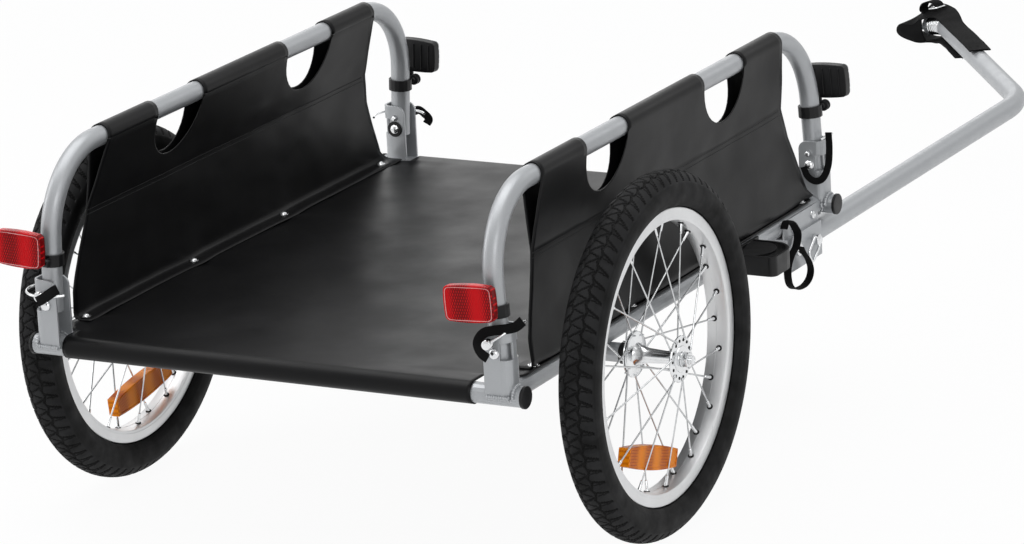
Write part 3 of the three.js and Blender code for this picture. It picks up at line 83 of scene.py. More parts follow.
# The hoops, as part.mjs bends them
LEAN = math.radians(3)
HOOP_HEIGHT = 158.7
HOOP_BEND = 87
HOOP_TAIL = 8.5
PIN_RISE = 13.5
TOP_X = PIVOT_X - math.sin(LEAN) * HOOP_HEIGHT
TOP_Z = PIVOT_Z + math.cos(LEAN) * HOOP_HEIGHT
FINE_STEP = math.radians(3)

# The share of the hoop's height where the reflector's band sits, how far its lens is above the band
# and to the band's left, seen from outside, and how far the snap ring tilts from lying level
Corner = namedtuple("Corner", "name side end band lift left tilt")
CORNERS = (
    Corner("rear_left", -1, -1, 0.308, 16.8, 19.1, 0),
    Corner("rear_right", 1, -1, 0.27, 15.6, 11.6, math.radians(34)),
    Corner("front_left", -1, 1, 0.329, 29.2, 5.2, 0),
    Corner("front_right", 1, 1, 0.378, 28.6, 7.5, math.radians(45)),
)


def place(x, y, z):
    return Vector((x * MM, REAR + y * MM, z * MM))


def corner_y(corner):
    return BED if corner.end > 0 else 0


def heading(turn, rise=0.0):
    """A direction turned left from x by turn, and upwards by rise."""
    return Vector((math.cos(turn) * math.cos(rise), math.sin(turn) * math.cos(rise), math.sin(rise)))


# Camera, light and ground

CAMERA_AT = (2712.465, -4406.493, 1814.668)
CAMERA_YAW, CAMERA_PITCH, CAMERA_ROLL = 0.503, -0.283, -0.053
FOCAL_PIXELS = 5190.389
FRAME_PIXELS = 1024
SENSOR_WIDTH = 36
CLIP_END = 60
# Name, place in millimetres, width and height in metres, and power in watts
LIGHTS = (
    ("top", (-500, 300, 3000), (2.6, 3.4), 58),
    ("camera_side", (2600, -2200, 1700), (1.6, 1.8), 22),
    ("left_side", (-3000, -600, 1500), (1.4, 2.4), 24),
    ("back_left", (-2000, 3900, 1350), (2.6, 1.2), 11),
    ("back_right", (1700, 3600, 2300), (1.2, 1.2), 5),
)
AMBIENT = 0.4
GROUND_HALF = 14
GROUND_WHITE = 0.95


def new_object(name, data):
    made = bpy.data.objects.new(name, data)
    bpy.context.scene.collection.objects.link(made)
    return made


def make_camera():
    data = bpy.data.cameras.new("camera")
    camera = new_object("camera", data)
    ahead = heading(CAMERA_YAW + QUARTER, CAMERA_PITCH)
    right = heading(CAMERA_YAW)
    up = right.cross(ahead)
    turned_right = math.cos(CAMERA_ROLL) * right + math.sin(CAMERA_ROLL) * up
    turned_up = math.cos(CAMERA_ROLL) * up - math.sin(CAMERA_ROLL) * right
    basis = Matrix((turned_right, turned_up, -ahead)).transposed().to_4x4()
    camera.matrix_world = Matrix.Translation(place(*CAMERA_AT)) @ basis
    data.sensor_width = SENSOR_WIDTH
    data.lens = FOCAL_PIXELS / FRAME_PIXELS * SENSOR_WIDTH
    data.clip_end = CLIP_END
    bpy.context.scene.camera = camera


def area_light(name, at, size, power):
    data = bpy.data.lights.new(name, "AREA")
    data.shape = "RECTANGLE"
    data.size, data.size_y = size
    data.energy = power
    light = new_object(name, data)
    light.location = place(*at)
    aim = place(0, BED / 2, FRAME_Z) - place(*at)
    light.rotation_euler = aim.to_track_quat("-Z", "Y").to_euler()


def math_node(tree, operation, *values):
    """The output of a math node; each value is a number or another node's output."""
    made = tree.nodes.new("ShaderNodeMath")
    made.operation = operation
    for socket, value in zip(made.inputs, values):
        if isinstance(value, float):
            socket.default_value = value
        else:
            tree.links.new(value, socket)
    return made.outputs[0]


def white_for_view(tree, shader, white_kind, target, share=1.0):
    """Shows a share of plain light to the camera, in mirrors and through lenses, and the given shader
    to everything else."""
    rays = tree.nodes.new("ShaderNodeLightPath").outputs
    seen = math_node(tree, "MAXIMUM", rays["Is Camera Ray"], rays["Is Glossy Ray"])
    seen = math_node(tree, "MAXIMUM", seen, rays["Is Transmission Ray"])
    white = tree.nodes.new(white_kind)
    white.inputs["Strength"].default_value = 1
    mix = tree.nodes.new("ShaderNodeMixShader")
    tree.links.new(math_node(tree, "MULTIPLY", seen, share), mix.inputs[0])
    tree.links.new(shader.outputs[0], mix.inputs[1])
    tree.links.new(white.outputs[0], mix.inputs[2])
    tree.links.new(mix.outputs[0], target.inputs["Surface"])


def make_light():
    scene = bpy.context.scene
    scene.view_settings.view_transform = "Standard"
    world = bpy.data.worlds.new("studio")
    world.use_nodes = True
    scene.world = world
    nodes = world.node_tree.nodes
    ambient = nodes["Background"]
    ambient.inputs["Color"].default_value = (0.93, 0.96, 1, 1)
    ambient.inputs["Strength"].default_value = AMBIENT
    white_for_view(world.node_tree, ambient, "ShaderNodeBackground", nodes["World Output"])
    for light in LIGHTS:
        area_light(*light)


def make_ground():
    data = bpy.data.meshes.new("ground")
    corners = [(x * GROUND_HALF, y * GROUND_HALF, 0) for x, y in ((-1, -1), (1, -1), (1, 1), (-1, 1))]
    data.from_pydata(corners, [], [(0, 1, 2, 3)])
    ground = new_object("ground", data)
    material = bpy.data.materials.new("ground")
    material.use_nodes = True
    nodes = material.node_tree.nodes
    body = nodes["Principled BSDF"]
    body.inputs["Base Color"].default_value = (0.9, 0.9, 0.9, 1)
    body.inputs["Roughness"].default_value = 0.9
    output = nodes["Material Output"]
    white_for_view(material.node_tree, body, "ShaderNodeEmission", output, GROUND_WHITE)
    data.materials.append(material)


# Materials

looks = {}
# Nearly all of a noise texture's values lie between these two
NOISE_LOW, NOISE_HIGH = 0.3, 0.7


class Look:
    """One material and the few nodes that most of them share. Distances are in metres."""

    def __init__(self, name, color, roughness, metallic=0.0, **sockets):
        material = bpy.data.materials.new(name)
        material.use_nodes = True
        self.tree = material.node_tree
        self.body = self.tree.nodes["Principled BSDF"]
        self.body.inputs["Base Color"].default_value = (*color, 1)
        self.body.inputs["Roughness"].default_value = roughness
        self.body.inputs["Metallic"].default_value = metallic
        for socket, value in sockets.items():
            self.body.inputs[socket.replace("_", " ")].default_value = value
        self.coordinates = self.tree.nodes.new("ShaderNodeTexCoord").outputs
        self.color = color
        self.normal = None
        looks[name] = material

    def node(self, kind, **values):
        made = self.tree.nodes.new(kind)
        for socket, value in values.items():
            made.inputs[socket.replace("_", " ")].default_value = value
        return made

    def link(self, output, target):
        self.tree.links.new(output, target)

    def noise(self, scale, detail=3, stretch=(1, 1, 1)):
        mapping = self.node("ShaderNodeMapping", Scale=stretch)
        self.link(self.coordinates["Object"], mapping.inputs["Vector"])
        made = self.node("ShaderNodeTexNoise", Scale=scale, Detail=detail)
        self.link(mapping.outputs["Vector"], made.inputs["Vector"])
        return made.outputs["Fac"]

    def wave(self, vector, **values):
        made = self.node("ShaderNodeTexWave", **values)
        self.link(vector, made.inputs["Vector"])
        return made

    def tint(self, factor, low, high):
        """Colour from low to high times the base colour, along factor."""
        ramp = self.node("ShaderNodeValToRGB")
        for element, at, times in zip(ramp.color_ramp.elements, (NOISE_LOW, NOISE_HIGH), (low, high)):
            element.color = (*(min(c * times, 1) for c in self.color), 1)
            element.position = at
        self.link(factor, ramp.inputs["Fac"])
        self.link(ramp.outputs["Color"], self.body.inputs["Base Color"])

    def rough(self, factor, low, high):
        spread = self.node("ShaderNodeMapRange")
        ends = {"From Min": NOISE_LOW, "From Max": NOISE_HIGH, "To Min": low, "To Max": high}
        for socket, value in ends.items():
            spread.inputs[socket].default_value = value
        self.link(factor, spread.inputs["Value"])
        self.link(spread.outputs["Result"], self.body.inputs["Roughness"])

    def bump(self, height, distance, strength=1.0):
        made = self.node("ShaderNodeBump", Distance=distance, Strength=strength)
        self.link(height, made.inputs["Height"])
        if self.normal:
            self.link(self.normal, made.inputs["Normal"])
        self.use_normal(made)

    def soft_edges(self, radius):
        made = self.node("ShaderNodeBevel", Radius=radius)
        made.samples = 4
        self.use_normal(made)

    def use_normal(self, made):
        self.normal = made.outputs["Normal"]
        self.link(self.normal, self.body.inputs["Normal"])


def make_paint():
    paint = Look("silver_paint", (0.43, 0.442, 0.455), 0.4, 0.5)
    paint.soft_edges(0.0008)
    paint.tint(paint.noise(1400, 2), 0.94, 1.05)
    paint.rough(paint.noise(60, 3), 0.36, 0.46)
    paint.bump(paint.noise(420, 2), 0.00004, 0.5)


def make_chrome():
    chrome = Look("chrome_steel", (0.78, 0.79, 0.8), 0.14, 1)
    chrome.soft_edges(0.0004)
    chrome.rough(chrome.noise(220, 3), 0.1, 0.22)
    chrome.tint(chrome.noise(90, 3), 0.93, 1.04)


def make_spoke_steel():
    spoke = Look("spoke_steel", (0.62, 0.63, 0.64), 0.24, 1)
    spoke.tint(spoke.noise(150, 3), 0.85, 1.1)


def make_alloy():
    alloy = Look("rim_alloy", (0.74, 0.745, 0.75), 0.34, 0.72)
    alloy.rough(alloy.noise(900, 2, (1, 0.02, 0.02)), 0.28, 0.42)
    alloy.tint(alloy.noise(30, 4), 0.95, 1.04)
    alloy.bump(alloy.noise(2600, 2, (1, 0.05, 0.05)), 0.00003, 0.5)


def make_black_sheet():
    sheet = Look("black_sheet", (0.0038, 0.0038, 0.0042), 0.42, 0, Specular_IOR_Level=0.17)
    sheet.rough(sheet.noise(14, 4), 0.34, 0.46)
    sheet.tint(sheet.noise(9, 5), 0.8, 1.25)
    sheet.bump(sheet.noise(22, 4), 0.0006, 0.35)
    sheet.bump(sheet.noise(1300, 2), 0.00006, 0.6)


def make_stitch():
    stitch = Look("stitching", (0.02, 0.02, 0.021), 0.7)
    stitch.tint(stitch.noise(900, 2), 0.7, 1.5)


def make_webbing():
    web = Look("webbing", (0.004, 0.004, 0.0043), 0.8, 0, Specular_IOR_Level=0.13)
    ribs = web.wave(web.coordinates["UV"], Scale=420, Distortion=0.6, Detail=1)
    cross = web.wave(web.coordinates["UV"], Scale=260, Distortion=0.4, Detail=1)
    cross.bands_direction = "Y"
    weave = math_node(web.tree, "MULTIPLY", ribs.outputs["Fac"], cross.outputs["Fac"])
    web.tint(weave, 0.7, 1.6)
    web.bump(weave, 0.0005, 0.8)


def make_plastic():
    plastic = Look("black_plastic", (0.007, 0.007, 0.0075), 0.42, 0, Specular_IOR_Level=0.3)
    plastic.soft_edges(0.0006)
    plastic.rough(plastic.noise(80, 3), 0.36, 0.5)
    plastic.tint(plastic.noise(25, 3), 0.85, 1.2)
    plastic.bump(plastic.noise(1800, 2), 0.00005, 0.5)


def make_rubber():
    tyre = Look("tyre_rubber", (0.011, 0.011, 0.0115), 0.7, 0, Specular_IOR_Level=0.2)
    tyre.rough(tyre.noise(60, 4), 0.6, 0.8)
    # The vertex colour paints the grooves' shade and the tread tops' sheen; the noise adds random grime
    tread_light = tyre.node("ShaderNodeVertexColor")
    tread_light.layer_name = "painted_tread_light"
    grime_and_tread_light = math_node(tyre.tree, "MULTIPLY", tyre.noise(35, 5), tread_light.outputs["Color"])
    tyre.tint(grime_and_tread_light, 0.08, 1.35)
    tyre.bump(tyre.noise(900, 3), 0.00012, 0.6)


# A lens's colour and coat. Its prisms are two crossed waves, the lens's moulded pattern, in zones of their
# own brightness: the bright and dark zones and prism cells are painted reflection of the light that the
# prisms catch.
LENSES = (
    ("red_lens", (0.36, 0.001, 0.003), 0.04),
    ("clear_lens", (0.72, 0.74, 0.76), 0.6),
    ("orange_lens", (1.0, 0.17, 0.001), 0.02),
)
ZONE_SCALE = 0.478
PRISM_SCALE = 7.5
PRISM_TURN = math.radians(32)
PRISM_STRETCH = (1, 0.7, 1)
ZONE_SHARE = 0.7


def make_lens(name, color, coat):
    lens = Look(name, color, 0.26, 0, Coat_Weight=coat, Coat_Roughness=0.06, Specular_IOR_Level=0.12)
    zone = lens.wave(lens.coordinates["UV"], Scale=ZONE_SCALE, Phase_Offset=QUARTER)
    prisms = []
    for slope in (1, -1):
        turned = lens.node("ShaderNodeMapping", Rotation=(0, 0, slope * PRISM_TURN), Scale=PRISM_STRETCH)
        lens.link(lens.coordinates["UV"], turned.inputs["Vector"])
        prisms.append(lens.wave(turned.outputs[0], Scale=PRISM_SCALE).outputs["Fac"])
    crossed = math_node(lens.tree, "MULTIPLY", *prisms)
    # Painted reflection: each zone and prism cell lit or dark as the prisms catch the light
    shade = math_node(lens.tree, "MULTIPLY_ADD", zone.outputs["Fac"], ZONE_SHARE, crossed)
    lens.tint(shade, 0.5, 1.7)
    lens.bump(crossed, 0.0005, 0.35)


# The lighter stripe round the red lens's rim is a painted highlight on red lens
def make_lens_edge():
    edge = Look("lens_edge", (0.75, 0.3, 0.3), 0.25, 0, Coat_Weight=0.5)
    edge.tint(edge.noise(500), 0.8, 1.25)


# Dark discs and rings that stand for the shade inside holes: painted shade
def make_hole_shade():
    dark = Look("dark_hole", (0.01, 0.01, 0.01), 0.9)
    dark.tint(dark.noise(300), 0.8, 1.2)


def make_looks():
    make_paint()
    make_chrome()
    make_spoke_steel()
    make_alloy()
    make_black_sheet()
    make_stitch()
    make_webbing()
    make_plastic()
    make_rubber()
    for lens in LENSES:
        make_lens(*lens)
    make_lens_edge()
    make_hole_shade()


# Mesh helpers. A shape is (points, faces), with its points in metres.


def piece(name, points, faces, look, slot=None, smooth=35, uv=None):
    data = bpy.data.meshes.new(name)
    data.from_pydata([tuple(p) for p in points], [], faces)
    if uv:
        layer = data.uv_layers.new(name="uv")
        for loop in data.loops:
            layer.data[loop.index].uv = uv[loop.vertex_index]
    data.update()
    data.shade_smooth()
    data.set_sharp_from_angle(angle=math.radians(smooth))
    made = new_object(name, data)
    data.materials.append(looks[look])
    return made


def add(name, shape, look, body, replaces=(), slot=None, smooth=35, uv=None):
    """Makes a piece that rides on a body and stands for the CAD nodes named."""
    made = piece(name, *shape, look, slot, smooth, uv)
    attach(made, body)
    if replaces:
        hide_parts(*replaces)
    return made


def carry(node, look):
    """Gives a CAD node its material and smooth round faces."""
    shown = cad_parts[node]
    shown.data.materials.clear()
    shown.data.materials.append(looks[look])
    shown.data.shade_smooth()
    shown.data.set_sharp_from_angle(angle=math.radians(32))


def thicken(made, thickness):
    """Makes a sheet's mesh that many millimetres thick, half to each side."""
    thick = made.modifiers.new("thickness", "SOLIDIFY")
    thick.thickness = thickness * MM
    thick.offset = 0
    graph = bpy.context.evaluated_depsgraph_get()
    data = bpy.data.meshes.new_from_object(made.evaluated_get(graph))
    made.modifiers.clear()
    made.data = data


def grid_faces(rows, columns, wrap_rows=False, wrap_columns=False):
    faces = []
    for a in range(rows if wrap_rows else rows - 1):
        for b in range(columns if wrap_columns else columns - 1):
            c, d = (a + 1) % rows, (b + 1) % columns
            faces.append((a * columns + b, a * columns + d, c * columns + d, c * columns + b))
    return faces


def closed_faces(rows, columns, flip=False):
    """Faces of a grid that closes round on itself, with a lid at each end."""
    last = (rows - 1) * columns
    lids = [tuple(reversed(range(columns))), tuple(range(last, last + columns))]
    if flip:
        lids = [lid[::-1] for lid in lids]
    return grid_faces(rows, columns, wrap_columns=True) + lids


def ahead_at(path, n):
    """The step from the point before the nth to the point after it."""
    return path[min(n + 1, len(path) - 1)] - path[max(n - 1, 0)]


def each(value, count):
    """The value itself where it is a list, or else a list of it."""
    return value if isinstance(value, list) else [value] * count


def arc(centre, radius, across, up, start, end, count):
    """Points of an arc of that many millimetres' radius, which turns from across to up."""
    turns = [start + (end - start) * k / count for k in range(count + 1)]
    return [centre + radius * MM * (math.cos(t) * across + math.sin(t) * up) for t in turns]


def tube(path, radius, sides):
    """A round tube along the path, without twist; radius is in metres, one or a list of them."""
    side = ahead_at(path, 0).orthogonal()
    points = []
    for n, (point, r) in enumerate(zip(path, each(radius, len(path)))):
        ahead = ahead_at(path, n).normalized()
        side = (side - ahead * side.dot(ahead)).normalized()
        other = ahead.cross(side)
        for k in range(sides):
            turn = 2 * math.pi * k / sides
            points.append(point + r * (math.cos(turn) * side + math.sin(turn) * other))
    return points, closed_faces(len(path), sides, flip=True)


def bent(stops, radius, step=math.radians(5)):
    """Straight runs between the stops, with an arc at each corner."""
    path = [stops[0]]
    for before, corner, after in zip(stops, stops[1:], stops[2:]):
        one, two = (corner - before).normalized(), (after - corner).normalized()
        turn = one.angle(two)
        axis = one.cross(two).normalized()
        inward = axis.cross(one)
        centre = corner - one * radius * math.tan(turn / 2) + inward * radius
        count = max(1, math.ceil(turn / step))
        for k in range(count + 1):
            spin = Matrix.Rotation(turn * k / count, 3, axis)
            path.append(centre - spin @ inward * radius)
    return [*path, stops[-1]]


def smooth_path(stops, per_span=6):
    """A Catmull-Rom curve through the stops."""
    path = []
    ends = [stops[0] * 2 - stops[1], *stops, stops[-1] * 2 - stops[-2]]
    for a, b, c, d in zip(ends, ends[1:], ends[2:], ends[3:]):
        for k in range(per_span):
            t = k / per_span
            curve = 2 * b + (c - a) * t + (2 * a - 5 * b + 4 * c - d) * t**2
            path.append(0.5 * (curve + (3 * b - a - 3 * c + d) * t**3))
    return [*path, stops[-1]]


def lathe(profile, origin, axis, sides=48):
    """A turned shape; the profile lists (distance along the axis, radius) in millimetres."""
    side = axis.orthogonal().normalized()
    other = axis.cross(side)
    points = []
    for along, radius in profile:
        for k in range(sides):
            turn = 2 * math.pi * k / sides
            out = math.cos(turn) * side + math.sin(turn) * other
            points.append(origin + MM * (along * axis + radius * out))
    return points, closed_faces(len(profile), sides)


def dome(radius, height, length=0):
    """Profile of a domed screw head that stands on its seat, with a shank behind."""
    profile = [(-length, radius * 0.5), (0, radius * 0.5)] if length else []
    turns = [QUARTER * k / 6 for k in range(7)]
    return profile + [(height * math.sin(t), max(radius * math.cos(t), 0.01)) for t in turns]


def together(*shapes):
    points, faces = [], []
    for some, some_faces in shapes:
        start = len(points)
        points += some
        faces += [tuple(start + v for v in face) for face in some_faces]
    return points, faces


BAND_CORNER = [(0.5, 0.35), (0.47, 0.5), (0, 0.5), (-0.47, 0.5), (-0.5, 0.35)]
BAND_SECTION = [(-a, -b) for a, b in BAND_CORNER] + BAND_CORNER


def ribbon(path, across, width, thickness, bow=0.0):
    """A flat band with rounded edges; its direction across and its width are one or a list of them.
    Gives its points, faces and texture places, in metres along and across it."""
    count = len(path)
    points, uv = [], []
    run = 0.0
    for n, (point, way, wide) in enumerate(zip(path, each(across, count), each(width, count))):
        way = way.normalized()
        proud = way.cross(ahead_at(path, n).normalized()).normalized()
        run += (point - path[max(n - 1, 0)]).length
        for a, b in BAND_SECTION:
            lift = bow * (1 - 4 * a * a)
            points.append(point + a * wide * way + (b * thickness + lift) * proud)
            uv.append((a * wide, run))
    return points, closed_faces(count, len(BAND_SECTION)), uv


# Frame and hoops

PAINTED = ("rear_cross_tube", "front_cross_tube", "left_rail", "right_rail", "axle_tube", "tow_bracket")
BEAD_INSET = 1.5
BEAD_RISE = 1.2
BEAD_OFF = 0.5
BEAD_TOE = 0.6
FOOT_BEAD, TUBE_BEAD, RAIL_BEAD = 2.5, 2.0, 1.3
RIPPLE_POINTS = 6
CAP_SEAT = 294.1
CAP = [(-8, 9), (0, 9), (0, 11.2), (0.4, 12), (3, 12), (3.6, 11.4), (3.9, 8), (4, 0.01)]


def leg_point(side, rise, y):
    """A point on a hoop leg's axis, that far up the leaning leg from its pivot."""
    return place(side * (PIVOT_X - math.sin(LEAN) * rise), y, PIVOT_Z + math.cos(LEAN) * rise)


def weld_bead(path, radius, seed):
    """A row of overlapping ripples along the path."""
    radii = []
    for n, point in enumerate(path):
        ripple = 0.75 + 0.4 * abs(math.sin(n * math.pi / RIPPLE_POINTS))
        radii.append(radius * MM * (ripple + 0.25 * noise.noise(point * 400 + seed * X)))
    return tube(path, radii, 10)


def bracket_beads(corner):
    """Beads along both sides of a bracket's foot, and over the cross tube at its outer face."""
    low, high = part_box(f"{corner.name}_bracket")
    beads = []
    for way, face_y in ((-1, low.y), (1, high.y)):
        y, z = face_y + way * BEAD_OFF * MM, (FRAME_Z + BEAD_RISE) * MM
        start, end = Vector((low.x + BEAD_INSET * MM, y, z)), Vector((high.x - BEAD_INSET * MM, y, z))
        beads.append(weld_bead([start.lerp(end, k / 60) for k in range(61)], FOOT_BEAD, way))
    out = max(abs(low.x), abs(high.x)) / MM * corner.side
    over = arc(place(out, corner_y(corner), FRAME_Z), TUBE + BEAD_TOE, Y, Z, 0, math.pi, 72)
    beads.append(weld_bead(over, TUBE_BEAD, corner.side))
    return beads


def rail_beads(side):
    """Beads round both ends of a rail."""
    beads = []
    for y, way in ((TUBE + BEAD_TOE, 1), (BED - TUBE - BEAD_TOE, -1)):
        centre = place(side * RAIL_X, y + way * BEAD_TOE, FRAME_Z)
        ring = arc(centre, TUBE + BEAD_TOE, X, Z, 0, 2 * math.pi, 120)
        beads.append(weld_bead(ring, RAIL_BEAD, y))
    return beads


def make_frame():
    for node in PAINTED:
        carry(node, "silver_paint")
    beads = []
    for corner in CORNERS:
        carry(f"{corner.name}_bracket", "silver_paint")
        beads += bracket_beads(corner)
        cap = lathe(CAP, place(corner.side * CAP_SEAT, corner_y(corner), FRAME_Z), corner.side * X)
        add(f"{corner.name}_end_cap", cap, "black_plastic", "frame", [f"{corner.name}_cap"])
    for _, side in SIDES:
        beads += rail_beads(side)
    add("frame_welds", together(*beads), "silver_paint", "frame")


def make_hoops():
    for name, side in SIDES:
        stops = [leg_point(side, -HOOP_TAIL, 0), leg_point(side, HOOP_HEIGHT, 0)]
        stops += [leg_point(side, HOOP_HEIGHT, BED), leg_point(side, -HOOP_TAIL, BED)]
        shape = tube(bent(stops, HOOP_BEND * MM, FINE_STEP), TUBE * MM, 40)
        add(f"{name}_hoop_tube", shape, "silver_paint", f"{name}_side", [f"{name}_hoop"], smooth=50)
        for end in ("rear", "front"):
            carry(f"{end}_{name}_clamp", "black_plastic")


# Pivot bolts, lock pins, snap rings and tethers at the corners

BRACKET_FACE = 14.1
SEAT_GAP = 0.3
BOLT_RADIUS, BOLT_DOME = 6, 4.3
NUT = [(0, 5.4), (3.6, 5.4), (4.4, 4.6), (4.6, 3)]
WASHER = [(0, 9), (1, 9.4), (1.6, 8.8)]
PIN = [(-19, 1.8), (-18, 2.9), (22.2, 3), (22.2, 5.2), (23, 5.9), (28, 5.9), (29.8, 4.9), (30.6, 2)]
RING_RADIUS, RING_WIRE = 30, 1.4
RING_INWARD = 3.9
RING_START, RING_END = math.radians(-52), math.radians(120)


def make_pivot_bolt(corner):
    pivot = place(corner.side * PIVOT_X, corner_y(corner), PIVOT_Z)
    off = (BRACKET_FACE + SEAT_GAP) * MM * Y
    bolt = lathe(dome(BOLT_RADIUS, BOLT_DOME, 2 * BRACKET_FACE), pivot - off, -Y)
    nut = lathe(NUT, pivot + off, Y, 6)
    if corner.name == "front_left":
        washer = lathe(WASHER, pivot - BRACKET_FACE * MM * Y, -Y, 32)
        add("front_left_washer", washer, "black_plastic", "frame")
    add(f"{corner.name}_bolt", together(bolt, nut), "chrome_steel", "frame", [f"{corner.name}_pivot_bolt"])


def make_lock_pin(corner):
    name, out = corner.name, corner.end * Y
    at = leg_point(corner.side, PIN_RISE, corner_y(corner))
    add(f"{name}_pin", lathe(PIN, at, out, 32), "chrome_steel", f"{name}_pin", [f"{name}_lock_pin"])
    tilted = Vector((corner.side * math.cos(corner.tilt), 0, math.sin(corner.tilt)))
    path = arc(at - RING_INWARD * MM * out, RING_RADIUS, out, tilted, RING_START, RING_END, 60)
    ring = tube(path, RING_WIRE * MM, 12)
    add(f"{name}_ring", ring, "chrome_steel", f"{name}_ring", [f"{name}_pin_ring"])


def make_corner_fittings():
    for corner in CORNERS:
        make_pivot_bolt(corner)
        make_lock_pin(corner)


# Each corner's webbing tether: its middle line, its width and the body that it rides on
TETHERS = {
    "rear_right": (
        [(270, -28, 267), (262, -27, 272), (257, -24, 281), (263, -21, 291), (276, -20, 295),
         (288, -18, 297), (298, -16, 300), (305, -14, 306)], 10.5, "rear_right_pin"),
    "rear_left": (
        [(-267, -34.5, 278), (-261, -35, 281), (-254, -35, 285.5), (-246, -34.5, 291), (-241, -33, 294)],
        11, "rear_left_pin"),
    "front_left": (
        [(-271, 794, 277), (-264, 795, 279), (-257, 795, 275), (-251, 795, 269), (-254, 794, 263)],
        10, "front_left_pin"),
    "front_right": (
        [(297.5, 741, 309), (298, 741, 291), (296, 741, 270.6), (289, 741, 255), (279, 741, 250.4),
         (269.5, 741, 255.5), (265, 741, 266)], 8, "frame"),
}
TETHER_THICK = 1.4 * MM
TETHER_BOW = 0.3 * MM
# Added across a tether, so that it has a direction where it runs along y
ALONG_Y = 0.0001 * Z


def make_tethers():
    for name, (stops, width, body) in TETHERS.items():
        path = smooth_path([place(*p) for p in stops], 7)
        across = []
        for n in range(len(path)):
            wide = (ahead_at(path, n).cross(Y) + ALONG_Y).normalized()
            if across and wide.dot(across[-1]) < 0:
                wide = -wide
            across.append(wide)
        points, faces, uv = ribbon(path, across, width * MM, TETHER_THICK, TETHER_BOW)
        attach(piece(f"{name}_tether", points, faces, "webbing", uv=uv), body)


# Reflectors. A layer is (depth in front of the back, inset from the outline).

LENS_WIDTH, LENS_HEIGHT, LENS_CORNER = 55.5, 36, 4
SIDE_BOW, TOP_BOW = 1.2, 2
CORNER_STEPS, EDGE_STEPS = 5, 8
RED_BACK = [(0, 3), (0.6, 1.8), (2.7, 1.5), (2.8, 2.5)]
RED_LENS = [(2.6, 1.6), (3.4, 0.4), (8, 0), (11.8, 0.2), (12.7, 1), (13, 2.2)]
RED_LENS += [(13, 3.2), (12.5, 3.7), (12.5, 17.8)]
# A thin stripe round the red lens's rim, which carries the painted highlight
RED_RIM_HIGHLIGHT = [(13.02, 2.3), (13.1, 2.7), (13.02, 3.15)]
CLEAR_BACK = [(0, 2), (0.6, 0.6), (9.6, 0), (9.8, 1), (9.9, 2)]
CLEAR_LENS = [(9.4, 1.2), (12.2, 0.8), (13, 1.6), (13, 17)]
LENS_TEXTURE = 56
RIB_STEP, RIB_HALF, RIB_RADIUS, RIB_OUT = 10, 15, 0.9, 0.4
KNUCKLE_OUT = 19
KNUCKLE_DEPTH = 4.5
STEM_RADIUS = 3.4
# A lens higher above its band than this has a stem that climbs to it
HIGH_LENS = 20
KNUCKLE = [(-9, 3.4), (-8.2, 4.2), (8.2, 4.2), (9, 3.4)]
DISC_HALF = [(1.2, 5.2), (1.4, 6.2), (3.4, 6.2), (4, 5)]
DISC = [(-x, r) for x, r in reversed(DISC_HALF)] + DISC_HALF


def lens_outline():
    """A reflector's outline of rounded corners and bowed edges, as (across, up)."""
    arcs = []
    for n, (cx, cz) in enumerate(((1, 1), (-1, 1), (-1, -1), (1, -1))):
        at_x, at_z = cx * (LENS_WIDTH / 2 - LENS_CORNER), cz * (LENS_HEIGHT / 2 - LENS_CORNER)
        turns = [QUARTER * (n + k / CORNER_STEPS) for k in range(CORNER_STEPS + 1)]
        arcs.append([(at_x + LENS_CORNER * math.cos(t), at_z + LENS_CORNER * math.sin(t)) for t in turns])
    ring = []
    for corner, following in zip(arcs, arcs[1:] + arcs[:1]):
        (x, z), (next_x, next_z) = corner[-1], following[0]
        shares = [k / EDGE_STEPS for k in range(1, EDGE_STEPS)]
        ring += corner + [(x + (next_x - x) * share, z + (next_z - z) * share) for share in shares]
    bowed = []
    for x, z in ring:
        out = SIDE_BOW * (1 - (2 * z / LENS_HEIGHT) ** 2) * max(-1, min(1, 4 * x / LENS_WIDTH))
        up = TOP_BOW * (1 - (2 * x / LENS_WIDTH) ** 2) * max(-1, min(1, 4 * z / LENS_HEIGHT))
        bowed.append((x + out, z + up))
    return bowed


def plate_solid(ring, layers, origin, wide, tall, proud):
    """A solid whose cross-section is the ring, scaled by the inset in each layer."""
    points = []
    for depth, inset in layers:
        for x, z in ring:
            length = math.hypot(x, z)
            shrink = (length - inset) / length
            points.append(origin + MM * (x * shrink * wide + z * shrink * tall + depth * proud))
    return points, closed_faces(len(layers), len(ring))


def front_ribs(centre, wide, tall, proud):
    """Upright ribs on the back of a front reflector."""
    ribs = []
    for k in range(-2, 3):
        at = centre + MM * (k * RIB_STEP * wide - RIB_OUT * proud)
        ribs.append(tube([at - RIB_HALF * MM * tall, at + RIB_HALF * MM * tall], RIB_RADIUS * MM, 8))
    return ribs


def stem(knuckle, back, lift, wide, tall, proud):
    """The arm from a band's knuckle to the housing, and the knuckle's own barrel."""
    climb = lift - LENS_HEIGHT / 2 if lift > HIGH_LENS else 0
    stops = [knuckle, back + 1.5 * MM * proud, back + MM * ((climb + 4) * tall + 2 * proud)]
    return [tube(smooth_path(stops), STEM_RADIUS * MM, 16), lathe(KNUCKLE, knuckle, wide, 24)]


def front_knuckle(knuckle, wide, tall, proud):
    """The disc and screw on a front reflector's knuckle."""
    at = knuckle + MM * (9 * wide + 2 * tall)
    return [lathe(DISC, at, proud, 32), lathe(dome(3, 1.6), at - 4 * MM * proud, -proud, 20)]


